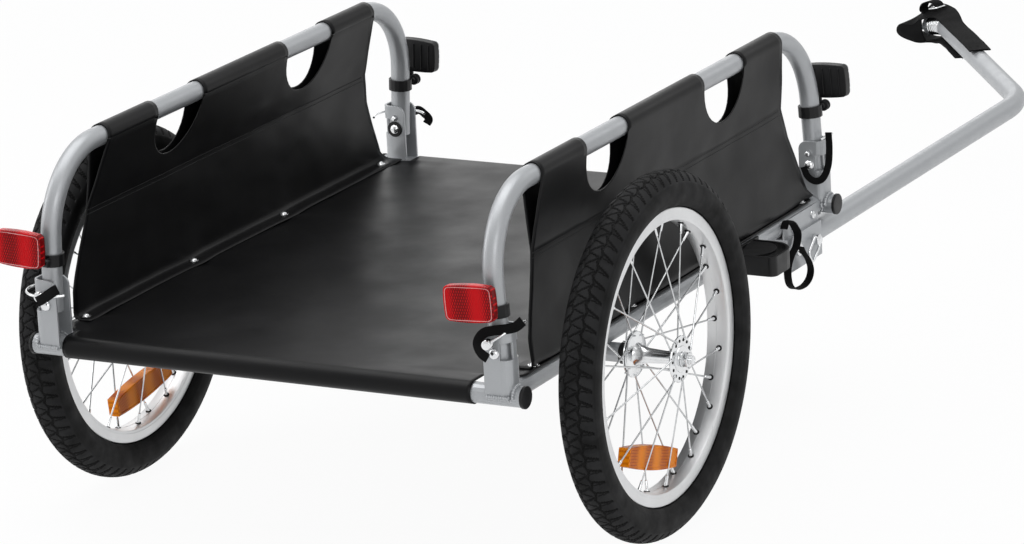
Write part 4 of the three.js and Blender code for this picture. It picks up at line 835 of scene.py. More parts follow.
def make_reflector(corner):
    name, red = corner.name, corner.end < 0
    turn = -corner.side * LEAN
    proud = corner.end * Y
    wide = Vector((math.cos(turn), 0, -math.sin(turn)))
    tall = Vector((math.sin(turn), 0, math.cos(turn)))
    axes = (wide, tall, proud)
    knuckle = leg_point(corner.side, corner.band * HOOP_HEIGHT, corner_y(corner)) + KNUCKLE_OUT * MM * proud
    back = knuckle + KNUCKLE_DEPTH * MM * proud
    centre = back + MM * (corner.end * corner.left * wide + corner.lift * tall)
    outline = lens_outline()
    bits = [plate_solid(outline, RED_BACK if red else CLEAR_BACK, centre, *axes)]
    bits += [] if red else front_ribs(centre, *axes)
    bits += stem(knuckle, back, corner.lift, *axes)
    bits += [] if red else front_knuckle(knuckle, *axes)
    add(f"{name}_housing", together(*bits), "black_plastic", f"{name}_lens", [f"{name}_reflector"])
    lens = plate_solid(outline, RED_LENS if red else CLEAR_LENS, centre, *axes)
    across = LENS_TEXTURE * MM
    uv = [((p - centre).dot(wide) / across, (p - centre).dot(tall) / across) for p in lens[0]]
    add(f"{name}_lens_face", lens, "red_lens" if red else "clear_lens", f"{name}_lens", smooth=20, uv=uv)
    # A painted highlight round the red lens's rim
    if red:
        points, _ = plate_solid(outline, RED_RIM_HIGHLIGHT, centre, *axes)
        faces = grid_faces(len(RED_RIM_HIGHLIGHT), len(outline), wrap_columns=True)
        add(f"{name}_lens_line", (points, faces), "lens_edge", f"{name}_lens", slot="red_lens")


# Wheels. A profile lists (x out from the wheel's middle plane, radius).

TYRE_RADIUS = 198
TYRE_SECTION = 22
SEAT_RADIUS = 159.3
TREAD_HALF = math.radians(62)
SIDE_STEPS, TREAD_STEPS = 14, 52
SIDE_LINES = (0.16, 0.3, 0.93)
LINE_RAISED = 0.45
SEAT_SUNK = 0.9
PITCHES = 78
PITCH_STEPS = 12
GROOVE = 1.3
# Painted light in the tyre's colour: grooves are painted dark as the shade in them, tread tops lighter as
# sheen, and the sides lie between
SIDE_SHADE, PAINTED_TREAD_SHEEN, PAINTED_GROOVE_SHADE = 0.9, 1.25, 0.1


def around(cx, radius, turn, x):
    """A point of a wheel: turn 0 is straight up, x is out from the wheel's middle plane."""
    return AXLE + Vector((cx + x * MM, radius * MM * math.sin(turn), radius * MM * math.cos(turn)))


def revolved(cx, profile, segments, closed=False):
    points = [around(cx, r, 2 * math.pi * n / segments, x) for n in range(segments) for x, r in profile]
    return points, grid_faces(segments, len(profile), wrap_rows=True, wrap_columns=closed)


def mirrored(half):
    return [(-x, r) for x, r in reversed(half)]


def groove_depth(u, v):
    """The cut in the tread, from 0 to 1, at u from -1 to 1 across it and v, a share of one pitch."""
    a = abs(u)
    shift = 0.5 if u > 0 else 0.0

    def near(value, width):
        return abs(value % 1.0 - 0.5) < width / 2

    zigzag = 0.06 * (abs((v + shift) % 1 - 0.5) * 4 - 1)
    if abs(a - 0.34 - zigzag) < 0.05:
        return 1.0
    if a < 0.3:
        return 0.8 if near(v + 0.9 * u, 0.16) or near(v + 0.5 - 0.5 * u, 0.1) else 0.0
    if a < 0.97 and near(v + shift + 0.75 * a, 0.17):
        return 1.0
    return 0.7 if 0.45 < a < 0.97 and near(v + shift + 0.5 + 0.3 * a, 0.1) else 0.0


def tyre_section():
    """The tyre's outside from bead to bead as (angle, whether it is tread, share). The share runs from
    bead to tread at the sides, and from -1 to 1 across the tread."""
    seat = math.asin((SEAT_RADIUS - TYRE_RADIUS + TYRE_SECTION) / TYRE_SECTION)
    edge = QUARTER - TREAD_HALF
    wall = [(seat + (edge - seat) * k / SIDE_STEPS, False, k / SIDE_STEPS) for k in range(SIDE_STEPS)]
    shares = [2 * k / TREAD_STEPS - 1 for k in range(TREAD_STEPS + 1)]
    tread = [(edge + TREAD_HALF * (share + 1), True, share) for share in shares]
    return wall + tread + [(math.pi - angle, False, share) for angle, _, share in reversed(wall)]


CASING_HALF = [(11.2, 159.2), (10.9, 151.5), (8.6, 151.5), (9, 160), (18, 170)]


def make_tyre(name, cx):
    section = tyre_section()
    rings = PITCHES * PITCH_STEPS
    points, tread_light_values = [], []
    for n in range(rings):
        for angle, tread, share in section:
            if tread:
                deep = groove_depth(share, n % PITCH_STEPS / PITCH_STEPS)
                r = TYRE_SECTION - GROOVE * deep
                tread_light_values.append(PAINTED_TREAD_SHEEN - (PAINTED_TREAD_SHEEN - PAINTED_GROOVE_SHADE) * deep)
            else:
                lined = min(abs(share - s) for s in SIDE_LINES) < 0.03
                r = TYRE_SECTION + (LINE_RAISED if lined else 0) - (SEAT_SUNK if share < 0.05 else 0)
                tread_light_values.append(SIDE_SHADE)
            radius = TYRE_RADIUS - TYRE_SECTION + r * math.sin(angle)
            points.append(around(cx, radius, 2 * math.pi * n / rings, r * math.cos(angle)))
    outside = (points, grid_faces(rings, len(section), wrap_rows=True))
    casing = revolved(cx, [*CASING_HALF, (0, 193), *mirrored(CASING_HALF)], 96)
    shape = together(outside, casing)
    made = add(f"{name}_tyre_tread", shape, "tyre_rubber", f"{name}_wheel", [f"{name}_tyre"], smooth=30)
    tread_light_values += [SIDE_SHADE] * len(casing[0])
    # Stores each point's painted groove shade or tread sheen for the material
    layer = made.data.color_attributes.new("painted_tread_light", "FLOAT_COLOR", "POINT")
    for vertex, value in zip(layer.data, tread_light_values):
        vertex.color = (value, value, value, 1)


RIM_HALF = [(11.4, 149.2), (11.4, 158), (11.9, 158.9), (12.6, 158.9), (13, 158.2), (13, 148.6)]
RIM_HALF += [(12.7, 148.2), (12.7, 146.6), (12.2, 145.4), (10.6, 144.8), (6, 144), (3.2, 143.6)]
RIM_HALF += [(0.5, 143.5), (0.4, 143.8)]


def make_rim(name, cx):
    shape = revolved(cx, RIM_HALF + mirrored(RIM_HALF), 160, closed=True)
    add(f"{name}_rim_hoop", shape, "rim_alloy", f"{name}_wheel", [f"{name}_rim"], smooth=25)


SPOKES = 28
SPOKE_LEAN = math.radians(26)
SPOKE_RADIUS = 0.95
SPOKE_OFF = 1.9
FLANGE_X = 27
HOLE_RADIUS, HOLE_FACE = 20.4, 1.62
HEAD_RADIUS = 22.3
NIPPLE_RADIUS, NIPPLE_X = 143.4, 3
NIPPLE = [(-0.6, 2.0), (0.4, 2.1), (2.6, 2.0), (3.4, 1.75), (11.5, 1.6), (12, 1)]
# A dark ring round each nipple at the rim: painted shade in the rim's spoke hole
SOCKET = [(-0.9, 3.3), (0.45, 3.3), (0.5, 2.4), (0.1, 2.1)]
SPOKE_HEAD = dome(1.9, 1.3, 3.0)
HEAD_SUNK = 0.2
# The share of a spoke that its nipple hides
NIPPLE_SHARE = 0.03


def make_spokes(name, cx):
    wires, nipples, heads, sockets = [], [], [], []
    for n in range(SPOKES):
        flange = -1 if n % 2 else 1
        lead = -1 if (n // 2) % 2 else 1
        turn = 2 * math.pi * n / SPOKES
        hub_end = around(cx, HEAD_RADIUS, turn + lead * SPOKE_LEAN, flange * FLANGE_X + lead * SPOKE_OFF)
        rim_end = around(cx, NIPPLE_RADIUS, turn, flange * NIPPLE_X)
        wires.append(tube([hub_end, rim_end.lerp(hub_end, NIPPLE_SHARE)], SPOKE_RADIUS * MM, 8))
        nipples.append(lathe(NIPPLE, rim_end, (hub_end - rim_end).normalized(), 12))
        inward = Vector((0, WHEEL.y - rim_end.y, WHEEL.z - rim_end.z)).normalized()
        sockets.append(lathe(SOCKET, rim_end, inward, 16))
        away = lead * flange * X
        heads.append(lathe(SPOKE_HEAD, hub_end - away * HEAD_SUNK * MM, away, 12))
    add(f"{name}_spokes", together(*wires, *heads), "spoke_steel", f"{name}_wheel", slot="chrome_steel")
    add(f"{name}_nipples", together(*nipples), "chrome_steel", f"{name}_wheel")
    # Painted shade round the nipples, on the rim alloy
    add(f"{name}_nipple_sockets", together(*sockets), "dark_hole", f"{name}_wheel", slot="rim_alloy")


# A thin dark disc in each spoke hole of the flanges: painted shade inside the hole
HOLE = [(-0.2, 1.7), (0.12, 1.7)]
HOLE_TURN = 0.1
# The hub's profile from its outer flange over the barrel to its inner one
HUB = [(30, 6.8), (30, 9), (29.4, 13), (29.2, 14), (28.2, 14.4), (28.4, 22.5), (28.2, 24.6), (27.6, 25)]
HUB += [(26.4, 25), (25.9, 24.4), (25.6, 16.5), (24.6, 12), (21, 9), (12, 7)]
HUB += [(-10, 8.2), (-20, 10.6), (-23.4, 12.5), (-24.2, 16.5), (-24.4, 23.5), (-24.9, 24.6), (-25.6, 24.6)]
HUB += [(-26, 22), (-26.6, 22), (-27, 24.6), (-27.8, 25), (-28.4, 24.4), (-28.6, 15), (-30, 10), (-30, 6.8)]


def make_hub(name, side, cx):
    profile = HUB if side > 0 else mirrored(HUB)
    shell = lathe(profile, AXLE + cx * X, X, 64)
    holes = []
    for flange in (-1, 1):
        for k in range(SPOKES // 2):
            turn = 4 * math.pi * (k + 0.5) / SPOKES + HOLE_TURN * flange
            for face in (-1, 1):
                at = around(cx, HOLE_RADIUS, turn, flange * FLANGE_X + face * HOLE_FACE)
                holes.append(lathe(HOLE, at, face * X, 12))
    add(f"{name}_hub_shell", shell, "chrome_steel", f"{name}_wheel", [f"{name}_hub"], smooth=28)
    # Dark discs of painted shade in the flange holes, on the chrome hub
    add(f"{name}_flange_holes", together(*holes), "dark_hole", f"{name}_wheel", slot="chrome_steel")


HUB_HALF = 30.3
ROD_RADIUS = 5.9
THREAD_PITCH = 1.0


def make_axle(name, side):
    """The stub axle from its tube out: rod, cone nut, seat, dust cap, outer nut and threaded end."""
    low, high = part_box(f"{name}_axle")
    tip = max(abs(low.x), abs(high.x)) / MM
    hub = WHEEL_X + HUB_HALF
    thread = []
    at = hub + 8.2
    while at < tip - 0.8:
        thread += [(at, 4.6), (at + THREAD_PITCH / 2, 5.0), (at + THREAD_PITCH, 4.6)]
        at += THREAD_PITCH
    thread += [(tip - 0.3, 4.4), (tip, 3.8)]
    turned = (
        ([(262, ROD_RADIUS), (292.6, ROD_RADIUS)], 32),
        ([(292.7, 9), (298.4, 9), (298.7, 6)], 6),
        ([(298, ROD_RADIUS), (hub, ROD_RADIUS)], 32),
        ([(hub, 8.6), (hub + 1.6, 8.6), (hub + 1.9, 8)], 32),
        ([(hub + 1.9, 7.6), (hub + 2.2, 8.8), (hub + 7.4, 8.8), (hub + 8.2, 7.8)], 6),
        (thread, 32),
    )
    shape = together(*(lathe(profile, AXLE, side * X, sides) for profile, sides in turned))
    add(f"{name}_axle_steel", shape, "chrome_steel", "frame", [f"{name}_axle"], smooth=28)
    carry(f"{name}_axle_bush", "black_plastic")


REFLECTOR_TURNS = {"left": math.radians(7.5), "right": math.radians(-17.4)}
PRISM_RADIUS, PRISM_LENGTH = 106.5, 116
PRISM_DEPTH, PRISM_END_DEPTH = 27, 20
PRISM_STEPS = 40
# Each layer's x and its inset from the outline
PRISM_HALF = [(6.1, 0.2), (6.9, 1.2), (6.9, 2.6)]
PRISM_LAYERS = [*mirrored(PRISM_HALF), (0, 0), *PRISM_HALF, (6.3, 3.2)]


def make_wheel_reflector(name, cx):
    """The wheel's reflector, which bulges at its middle and sits across the spokes."""
    turn = REFLECTOR_TURNS[name]
    along_way = Vector((0, math.cos(turn), math.sin(turn)))
    out_way = Vector((0, math.sin(turn), -math.cos(turn)))
    centre = AXLE + cx * X + PRISM_RADIUS * MM * out_way
    outline = [(way * (2 * k / PRISM_STEPS - 1), way) for way in (1, -1) for k in range(PRISM_STEPS + 1)]
    points, uv = [], []
    for x, inset in PRISM_LAYERS:
        for share, way in outline:
            half_depth = PRISM_DEPTH / 2 - (PRISM_DEPTH - PRISM_END_DEPTH) / 2 * share * share - inset
            along, rise = share * (PRISM_LENGTH / 2 - inset), way * half_depth
            points.append(centre + MM * (x * X + along * along_way + rise * out_way))
            uv.append((along / LENS_TEXTURE, rise / LENS_TEXTURE))
    count = len(outline)
    faces = grid_faces(len(PRISM_LAYERS), count, wrap_columns=True)
    for layer, flip in ((0, True), (len(PRISM_LAYERS) - 1, False)):
        base = layer * count
        for k in range(PRISM_STEPS):
            quad = (base + k, base + k + 1, base + count - 2 - k, base + count - 1 - k)
            faces.append(quad[::-1] if flip else quad)
    node = f"{name}_wheel_reflector"
    add(f"{name}_wheel_prism", (points, faces), "orange_lens", f"{name}_wheel", [node], smooth=25, uv=uv)


def make_wheels():
    for name, side in SIDES:
        cx = middle(f"{name}_tyre").x
        make_tyre(name, cx)
        make_rim(name, cx)
        make_spokes(name, cx)
        make_hub(name, side, cx)
        make_axle(name, side)
        make_wheel_reflector(name, cx)


# Side panels. Each runs from a hem on the bed up to a seam, and from there as two layers to the hoop's
# top tube, which three sleeves wrap. Between the sleeves the layers are cut out as hand holes.

SHEET_THICK = 0.9
SEAM_Z = 350
SLEEVES = ((0.134, 0.267), (0.393, 0.632), (0.763, 0.891))
SLEEVE_ENDS = [(a * BED, b * BED) for a, b in SLEEVES]
SLEEVE_RADIUS = TUBE + 1.2
PANEL_REAR, PANEL_FRONT = SLEEVE_ENDS[0][0], SLEEVE_ENDS[-1][1]
HAND_HOLE = 51
PANEL_HEIGHT = 206
# A panel's edge as (share of its height, share of the way in from the bed's end to the end sleeve)
REAR_EDGE = ((0, 0.49), (0.16, 0.47), (0.36, 0.6), (0.6, 0.76), (0.9, 0.95), (1, 1))
FRONT_EDGE = ((0, 0.24), (0.06, 0.46), (0.2, 0.64), (0.4, 0.87), (0.57, 0.96), (1, 1))
SCREWS = (63, 286, 484, 711)
SCREW_X = 273
SCREW_RADIUS, SCREW_DOME = 4.6, 2.9
SCREW_WASHER = [(0, 6.4), (0.6, 6.4), (0.8, 6)]
# The panel's section on the right side: its foot, the seam, and the turns round the top tube at which
# the outer and the inner layer touch it
FOOT_X, FOOT_Z = 280.0, FLOOR_TOP + 1.8
PANEL_DOWN = Vector((FOOT_X - TOP_X, FOOT_Z - TOP_Z)).normalized()
SEAM_RUN = (TOP_Z - SEAM_Z) / -PANEL_DOWN.y
SEAM = Vector((TOP_X, TOP_Z)) + PANEL_DOWN * SEAM_RUN
SEAM_AWAY = math.acos(SLEEVE_RADIUS / SEAM_RUN)
OUTER_TURN = math.atan2(PANEL_DOWN.y, PANEL_DOWN.x) + SEAM_AWAY
INNER_TURN = OUTER_TURN - 2 * SEAM_AWAY + 2 * math.pi
# The hem's points as (in from the foot, above the bed)
HEM = ((21, 0.9), (12, 0.8), (6, 0.9), (2.5, 1.6), (0.6, 3.4))
LOW_ROWS, LAYER_ROWS, SLEEVE_ROWS = 26, 22, 22
CALM = 25


def along_table(table, share):
    for (a, va), (b, vb) in zip(table, table[1:]):
        if share <= b:
            return va + (vb - va) * max(0.0, (share - a) / (b - a))
    return table[-1][1]


def sleeve_point(turn):
    return Vector((TOP_X + SLEEVE_RADIUS * math.cos(turn), TOP_Z + SLEEVE_RADIUS * math.sin(turn)))


def edge_at(z):
    """The y of the panel's rear and front edges at that height."""
    share = min(1.0, max(0.0, (z - FLOOR_TOP) / PANEL_HEIGHT))
    rear = along_table(REAR_EDGE, share) * PANEL_REAR
    return rear, BED - along_table(FRONT_EDGE, share) * (BED - PANEL_FRONT)


def pucker(y, z, side):
    """How far the panel is pulled in near its screws and pushed out between them."""
    pull = 0.0
    for screw in SCREWS:
        d = math.hypot((y - screw) / 26, (z - FLOOR_TOP) / 34)
        pull += math.exp(-d * d) * 2.2
    wave = 1.1 * noise.noise(Vector((y * 0.011, z * 0.02, side * 3.1)))
    wave += 0.5 * noise.noise(Vector((y * 0.03, z * 0.05, side * 7.7)))
    return wave - pull


def panel_point(x, z, share, side):
    rear, front = edge_at(z)
    y = rear + (front - rear) * share
    push = pucker(y, z, side) if z < TOP_Z - CALM else 0.0
    fade = min(1.0, max(0.0, (TOP_Z - CALM - z) / 30)) if z > SEAM_Z else 1.0
    return place(side * (x + push * fade), y, z)


def panel_columns():
    """The panel's columns as (y, the ends of the hand hole that it crosses, or None at a sleeve)."""
    columns = []
    for n, (a, b) in enumerate(SLEEVE_ENDS):
        count = max(6, int((b - a) / 7))
        columns += [(a + (b - a) * k / count, None) for k in range(count + 1)]
        for c, _ in SLEEVE_ENDS[n + 1 : n + 2]:
            count = max(10, int((c - b) / 5))
            shares = [0.5 - 0.5 * math.cos(math.pi * k / count) for k in range(count + 1)]
            columns += [(b + (c - b) * share, (b, c)) for share in shares]
    return columns


def panel_column(y, hole, side):
    """A column's points: its lower part, its outer and inner layer, and its sleeve."""
    share = (y - PANEL_REAR) / (PANEL_FRONT - PANEL_REAR)
    low = [panel_point(FOOT_X - inward, FLOOR_TOP + rise, share, side) for inward, rise in HEM]
    for k in range(1, LOW_ROWS + 1):
        t = k / LOW_ROWS
        z = FOOT_Z + 3 + (SEAM.y - FOOT_Z - 3) * t
        low.append(panel_point(FOOT_X + (SEAM.x - FOOT_X) * t, z, share, side))
    drop = 0.0
    if hole:
        off = (y - (hole[0] + hole[1]) / 2) / ((hole[1] - hole[0]) / 2)
        drop = HAND_HOLE * math.sqrt(max(0.0, 1 - off * off))
    layers = []
    for turn in (OUTER_TURN, INNER_TURN):
        end = sleeve_point(turn)
        stop = max(0.0, min(1.0, 1 - drop / (end.y - SEAM.y)))
        rows = [SEAM.lerp(end, stop * k / LAYER_ROWS) for k in range(1, LAYER_ROWS + 1)]
        layers.append([panel_point(*p, share, side) for p in rows])
    turns = [OUTER_TURN + (INNER_TURN - OUTER_TURN) * k / SLEEVE_ROWS for k in range(1, SLEEVE_ROWS)]
    sleeve = [] if hole else [panel_point(*sleeve_point(turn), share, side) for turn in turns]
    return low, *layers, sleeve


def make_panel(name, side):
    points, index, faces = [], {}, []

    def vertex(p):
        key = (round(p.x, 6), round(p.y, 6), round(p.z, 6))
        if key not in index:
            index[key] = len(points)
            points.append(p)
        return index[key]

    def strip(left, right):
        for corners in zip(left, left[1:], right[1:], right):
            unique = list(dict.fromkeys(vertex(p) for p in corners))
            if len(unique) > 2:
                faces.append(tuple(unique))

    columns = [panel_column(y, hole, side) for y, hole in panel_columns()]
    for (low, outer, inner, sleeve), (low_2, outer_2, inner_2, sleeve_2) in zip(columns, columns[1:]):
        strip(low, low_2)
        strip([low[-1], *outer], [low_2[-1], *outer_2])
        strip([low[-1], *inner], [low_2[-1], *inner_2])
        if sleeve and sleeve_2:
            strip([outer[-1], *sleeve, inner[-1]], [outer_2[-1], *sleeve_2, inner_2[-1]])
    made = piece(f"{name}_panel", points, faces, "black_sheet", smooth=60)
    thicken(made, SHEET_THICK)
    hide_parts(f"{name}_side_panel")
    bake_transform(made)


def make_panels():
    for name, side in SIDES:
        make_panel(name, side)


SEAM_ROWS = (1.5, 6.5)
STITCH, STITCH_STEP, STITCH_RADIUS = 2.8, 4, 0.32
STITCH_OUT = 0.62


def make_stitching():
    for name, side in SIDES:
        shapes = []
        for z in (SEAM_Z - row for row in SEAM_ROWS):
            x = FOOT_X + (SEAM.x - FOOT_X) * (z - FOOT_Z) / (SEAM.y - FOOT_Z)
            rear, front = edge_at(z)
            for k in range(int((front - rear - 6) / STITCH_STEP)):
                y = rear + 3 + STITCH_STEP * k
                for out in (-STITCH_OUT, STITCH_OUT):
                    ends = [place(side * (x + pucker(at, z, side) + out), at, z) for at in (y, y + STITCH)]
                    shapes.append(tube(ends, STITCH_RADIUS * MM, 5))
        add(f"{name}_seam", together(*shapes), "stitching", f"{name}_side", slot="black_sheet")


# The bed's sheet

BED_THICK = 1.0
BED_COLUMNS, BED_ROWS, WRAP_ROWS = 96, 110, 23
WRAP_START, WRAP_END = -108, 90
SLEEVE_DEPTH = 22
BED_HALF, BED_HALF_END, CORNER_RUN = 280, 258, 8
REAR_SLEEVE, FRONT_SLEEVE = (-255, 238), (-248, 248)
SLACK, RAY, MOST_RISE = 2.6, 1.5, 0.8


def bed_route():
    """The sheet's section as (y, z): round the rear tube, over the bed and round the front tube."""
    radius = TUBE + 1.0
    degrees = [WRAP_START + (WRAP_END - WRAP_START) * k / WRAP_ROWS for k in range(WRAP_ROWS + 1)]
    turns = [math.radians(turn) for turn in degrees]
    rear = [(-radius * math.cos(t), FRAME_Z + radius * math.sin(t)) for t in turns]
    front = [(BED - y, z) for y, z in reversed(rear)]
    return rear + [(BED * k / BED_ROWS, FRAME_Z + radius) for k in range(1, BED_ROWS)] + front


def bed_point(x, y, z):
    """A point of the sheet between its sleeves, slack and drawn into rays round its screws."""
    across = max(0.0, 1 - (x / 268) ** 2)
    along = math.sin(math.pi * (y - 10) / (BED - 20))
    sag = -SLACK * across * max(0.0, along)
    for screw in SCREWS:
        for side in (-1, 1):
            dx, dy = x - side * SCREW_X, y - screw
            d = math.hypot(dx, dy)
            ray = math.cos(3 * math.atan2(dy, -side * dx) + screw)
            sag += RAY * ray * math.exp(-d / 70) * (1 - math.exp(-d / 14))
    sag += 0.8 * noise.noise(Vector((x * 0.009, y * 0.012, 4.2)))
    sag += 0.35 * noise.noise(Vector((x * 0.03, y * 0.022, 9.1)))
    sag = min(sag, MOST_RISE)
    if abs(x) > 256:
        sag *= max(0.15, (BED_HALF - abs(x)) / 24)
    return place(x, y, z + sag)


def make_floor_sheet():
    """The bed's sheet, a sleeve round each cross tube, slack between its screws."""
    route = bed_route()
    points = []
    for y, z in route:
        inset = min(y, BED - y) - SLEEVE_DEPTH
        left, right = REAR_SLEEVE if y < BED / 2 else FRONT_SLEEVE
        if inset >= 0:
            right = BED_HALF_END + (BED_HALF - BED_HALF_END) * min(1.0, inset / CORNER_RUN)
            left = -right
        point = bed_point if inset >= 0 else place
        points += [point(left + (right - left) * c / BED_COLUMNS, y, z) for c in range(BED_COLUMNS + 1)]
    made = piece("bed_sheet", points, grid_faces(len(route), BED_COLUMNS + 1), "black_sheet", smooth=60)
    thicken(made, BED_THICK)
    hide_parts("floor_sheet")
    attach(made, "frame")


def make_floor_screws():
    heads, washers = [], []
    for _, side in SIDES:
        for y in SCREWS:
            at = place(side * SCREW_X, y, FLOOR_TOP + 0.9)
            heads.append(lathe(dome(SCREW_RADIUS, SCREW_DOME), at + 0.7 * MM * Z, Z, 24))
            washers.append(lathe(SCREW_WASHER, at, Z, 24))
    add("floor_screws", together(*heads, *washers), "chrome_steel", "frame")


# Tow arm, guard and hitch

ARM_TURN = math.radians(36.4)
ARM_LENGTH = 685
ARM_REACH = 405
ARM_BEND = 130
ARM_RADIUS = 12.7
HITCH_TURN = math.radians(38)
HITCH_DROOP = math.radians(12)
HITCH_YAW = QUARTER + ARM_TURN + HITCH_TURN
SPRING_LENGTH = 40
SPRING_GAP = 0.3

ARM_CORNER = place(ARM_X, ARM_Y + ARM_LENGTH, ARM_Z)
ARM_WAY = heading(ARM_TURN + QUARTER)
ARM_ACROSS = heading(ARM_TURN)
HITCH_WAY = heading(HITCH_YAW, -HITCH_DROOP)
HITCH_SIDE = heading(HITCH_YAW + QUARTER)
HITCH_UP = HITCH_WAY.cross(HITCH_SIDE)


def arm_at(distance):
    """The point that far along the arm's slanted run from its corner."""
    return ARM_CORNER + ARM_WAY * distance * MM


# The hitch's spring starts at the arm's end, bends at its knee and ends at the coupler
SPRING_START = arm_at(ARM_REACH + SPRING_GAP)
KNEE = arm_at(ARM_REACH + SPRING_GAP + SPRING_LENGTH / 2)
SPRING_END = KNEE + HITCH_WAY * SPRING_LENGTH / 2 * MM


# The (y, z) of the screws that hold the tow bracket to its rail
BRACKET_SCREWS = ((716, 218), (665, 215))


def make_tow_arm():
    stops = [place(ARM_X, ARM_Y - 6, ARM_Z), ARM_CORNER, arm_at(ARM_REACH)]
    shape = tube(bent(stops, ARM_BEND * MM, FINE_STEP), ARM_RADIUS * MM, 44)
    add("tow_arm_tube", shape, "silver_paint", "arm", ["tow_arm"], smooth=50)
    carry("tow_pivot_bolt", "chrome_steel")
    carry("tow_lock_pin", "chrome_steel")
    cheek = RAIL_X + TUBE + 2.5
    heads = [lathe(dome(5.2, 3.9), place(cheek, y, z), X, 28) for y, z in BRACKET_SCREWS]
    add("bracket_screws", together(*heads), "chrome_steel", "frame")


BAIL_TILT = math.radians(38)
BAIL_Y = 711
BAIL_HALF, BAIL_DROP, BAIL_EYE = 9, 27, 1.2
BAIL_BEND, BAIL_WIRE = 6, 1.6


def make_bail():
    along = Vector((0, math.sin(BAIL_TILT), -math.cos(BAIL_TILT)))
    down = Vector((0, -math.cos(BAIL_TILT), -math.sin(BAIL_TILT)))
    centre = place(middle("tow_pin_bail").x / MM, BAIL_Y, ARM_Z)
    half = [(BAIL_EYE, 0), (BAIL_HALF, 0), (BAIL_HALF, BAIL_DROP)]
    stops = [centre + MM * (a * along + d * down) for a, d in half + mirrored(half)]
    wire = tube(bent(stops, BAIL_BEND * MM, math.radians(8)), BAIL_WIRE * MM, 12)
    add("tow_bail_wire", wire, "chrome_steel", "tow_bail", ["tow_pin_bail"])


# The tow tether's loop as (y, z), from its screw down, round and back up behind itself
TETHER = (
    (627, 226), (634, 233), (645, 229), (652, 222), (658, 212), (652, 200), (636, 192), (626, 182),
    (624, 170), (628, 160), (640, 153), (660, 151), (674, 156), (678, 166), (671, 179), (658, 191),
    (650, 200),
)


def make_tow_tether():
    x = middle("tow_tether").x / MM
    last = len(TETHER) - 1
    path = smooth_path([place(x - 4 + 9 * n / last, y, z) for n, (y, z) in enumerate(TETHER)], 6)
    shares = [n / len(path) for n in range(len(path))]
    across = [Vector((1, 0.2 * math.sin(6 * share), 0.12 * math.sin(5 * share))) for share in shares]
    points, faces, uv = ribbon(path, across, 9 * MM, TETHER_THICK, TETHER_BOW)
    add("tow_tether_strap", (points, faces), "webbing", "frame", ["tow_tether"], uv=uv)


def make_guard():
    carry("wheel_guard", "black_plastic")


COILS, COIL_STEPS, COIL_RADIUS, COIL_WIRE = 7.5, 24, 11, 1.9
CORE_RADIUS = 7.5
# The share of the spring's length left free of coils at each end
COIL_FREE = 0.02


def spring_core(t):
    """The spring's middle line, a curve from the arm's end to the coupler."""
    return SPRING_START * (1 - t) ** 2 + KNEE * 2 * t * (1 - t) + SPRING_END * t**2


def make_hitch():
    carry("hitch_coupler", "silver_paint")
    side = ARM_WAY.cross(HITCH_WAY).normalized()
    count = int(COILS * COIL_STEPS)
    path = []
    for k in range(count + 1):
        t = COIL_FREE + (1 - 2 * COIL_FREE) * k / count
        ahead = (spring_core(min(1, t + 0.01)) - spring_core(max(0, t - 0.01))).normalized()
        turn = 2 * math.pi * k / COIL_STEPS
        out = math.cos(turn) * side + math.sin(turn) * side.cross(ahead)
        path.append(spring_core(t) + COIL_RADIUS * MM * out)
    half = len(path) // 2
    core = [spring_core(k / 8) for k in range(9)]
    for name, coil, inner, bodies, span in (
        ("near", path[: half + 1], core[:5], ("arm", "hitch_flex"), (SPRING_START, KNEE)),
        ("far", path[half:], core[4:], ("hitch_flex", "hitch"), (KNEE, SPRING_END)),
    ):
        wire = piece(f"spring_coil_{name}", *tube(coil, COIL_WIRE * MM, 12), "chrome_steel", smooth=50)
        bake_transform(wire)
        if name == "near":
            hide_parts("hitch_spring")
        rubber = piece(f"spring_core_{name}", *tube(inner, CORE_RADIUS * MM, 24), "black_plastic")
        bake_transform(rubber)


# The safety strap lies on top of the arm, loops round the hitch and comes back under the arm

STRAP_TILT = math.radians(22)
STRAP_WIDTH, LOOP_WIDTH = 28, 40
STRAP_THICK, STRAP_BOW = 2 * MM, 0.5 * MM
STRAP_CRUMPLE = 1.4
STRAP_SPARE = 3
COUPLER_HALF, COUPLER_LENGTH = 13, 38
# Points of the strap's path from one stop of its route to the next
PER_SPAN = 8
# Stops of the route, counted from 0: where one piece of the strap ends and the next begins, and
# where the strap starts to widen for its loop and is narrow again
STRAP_MARKS = (0, 3, 4.5, 11.5, 13, 14)
LOOP_START, LOOP_END = 3, 12.5


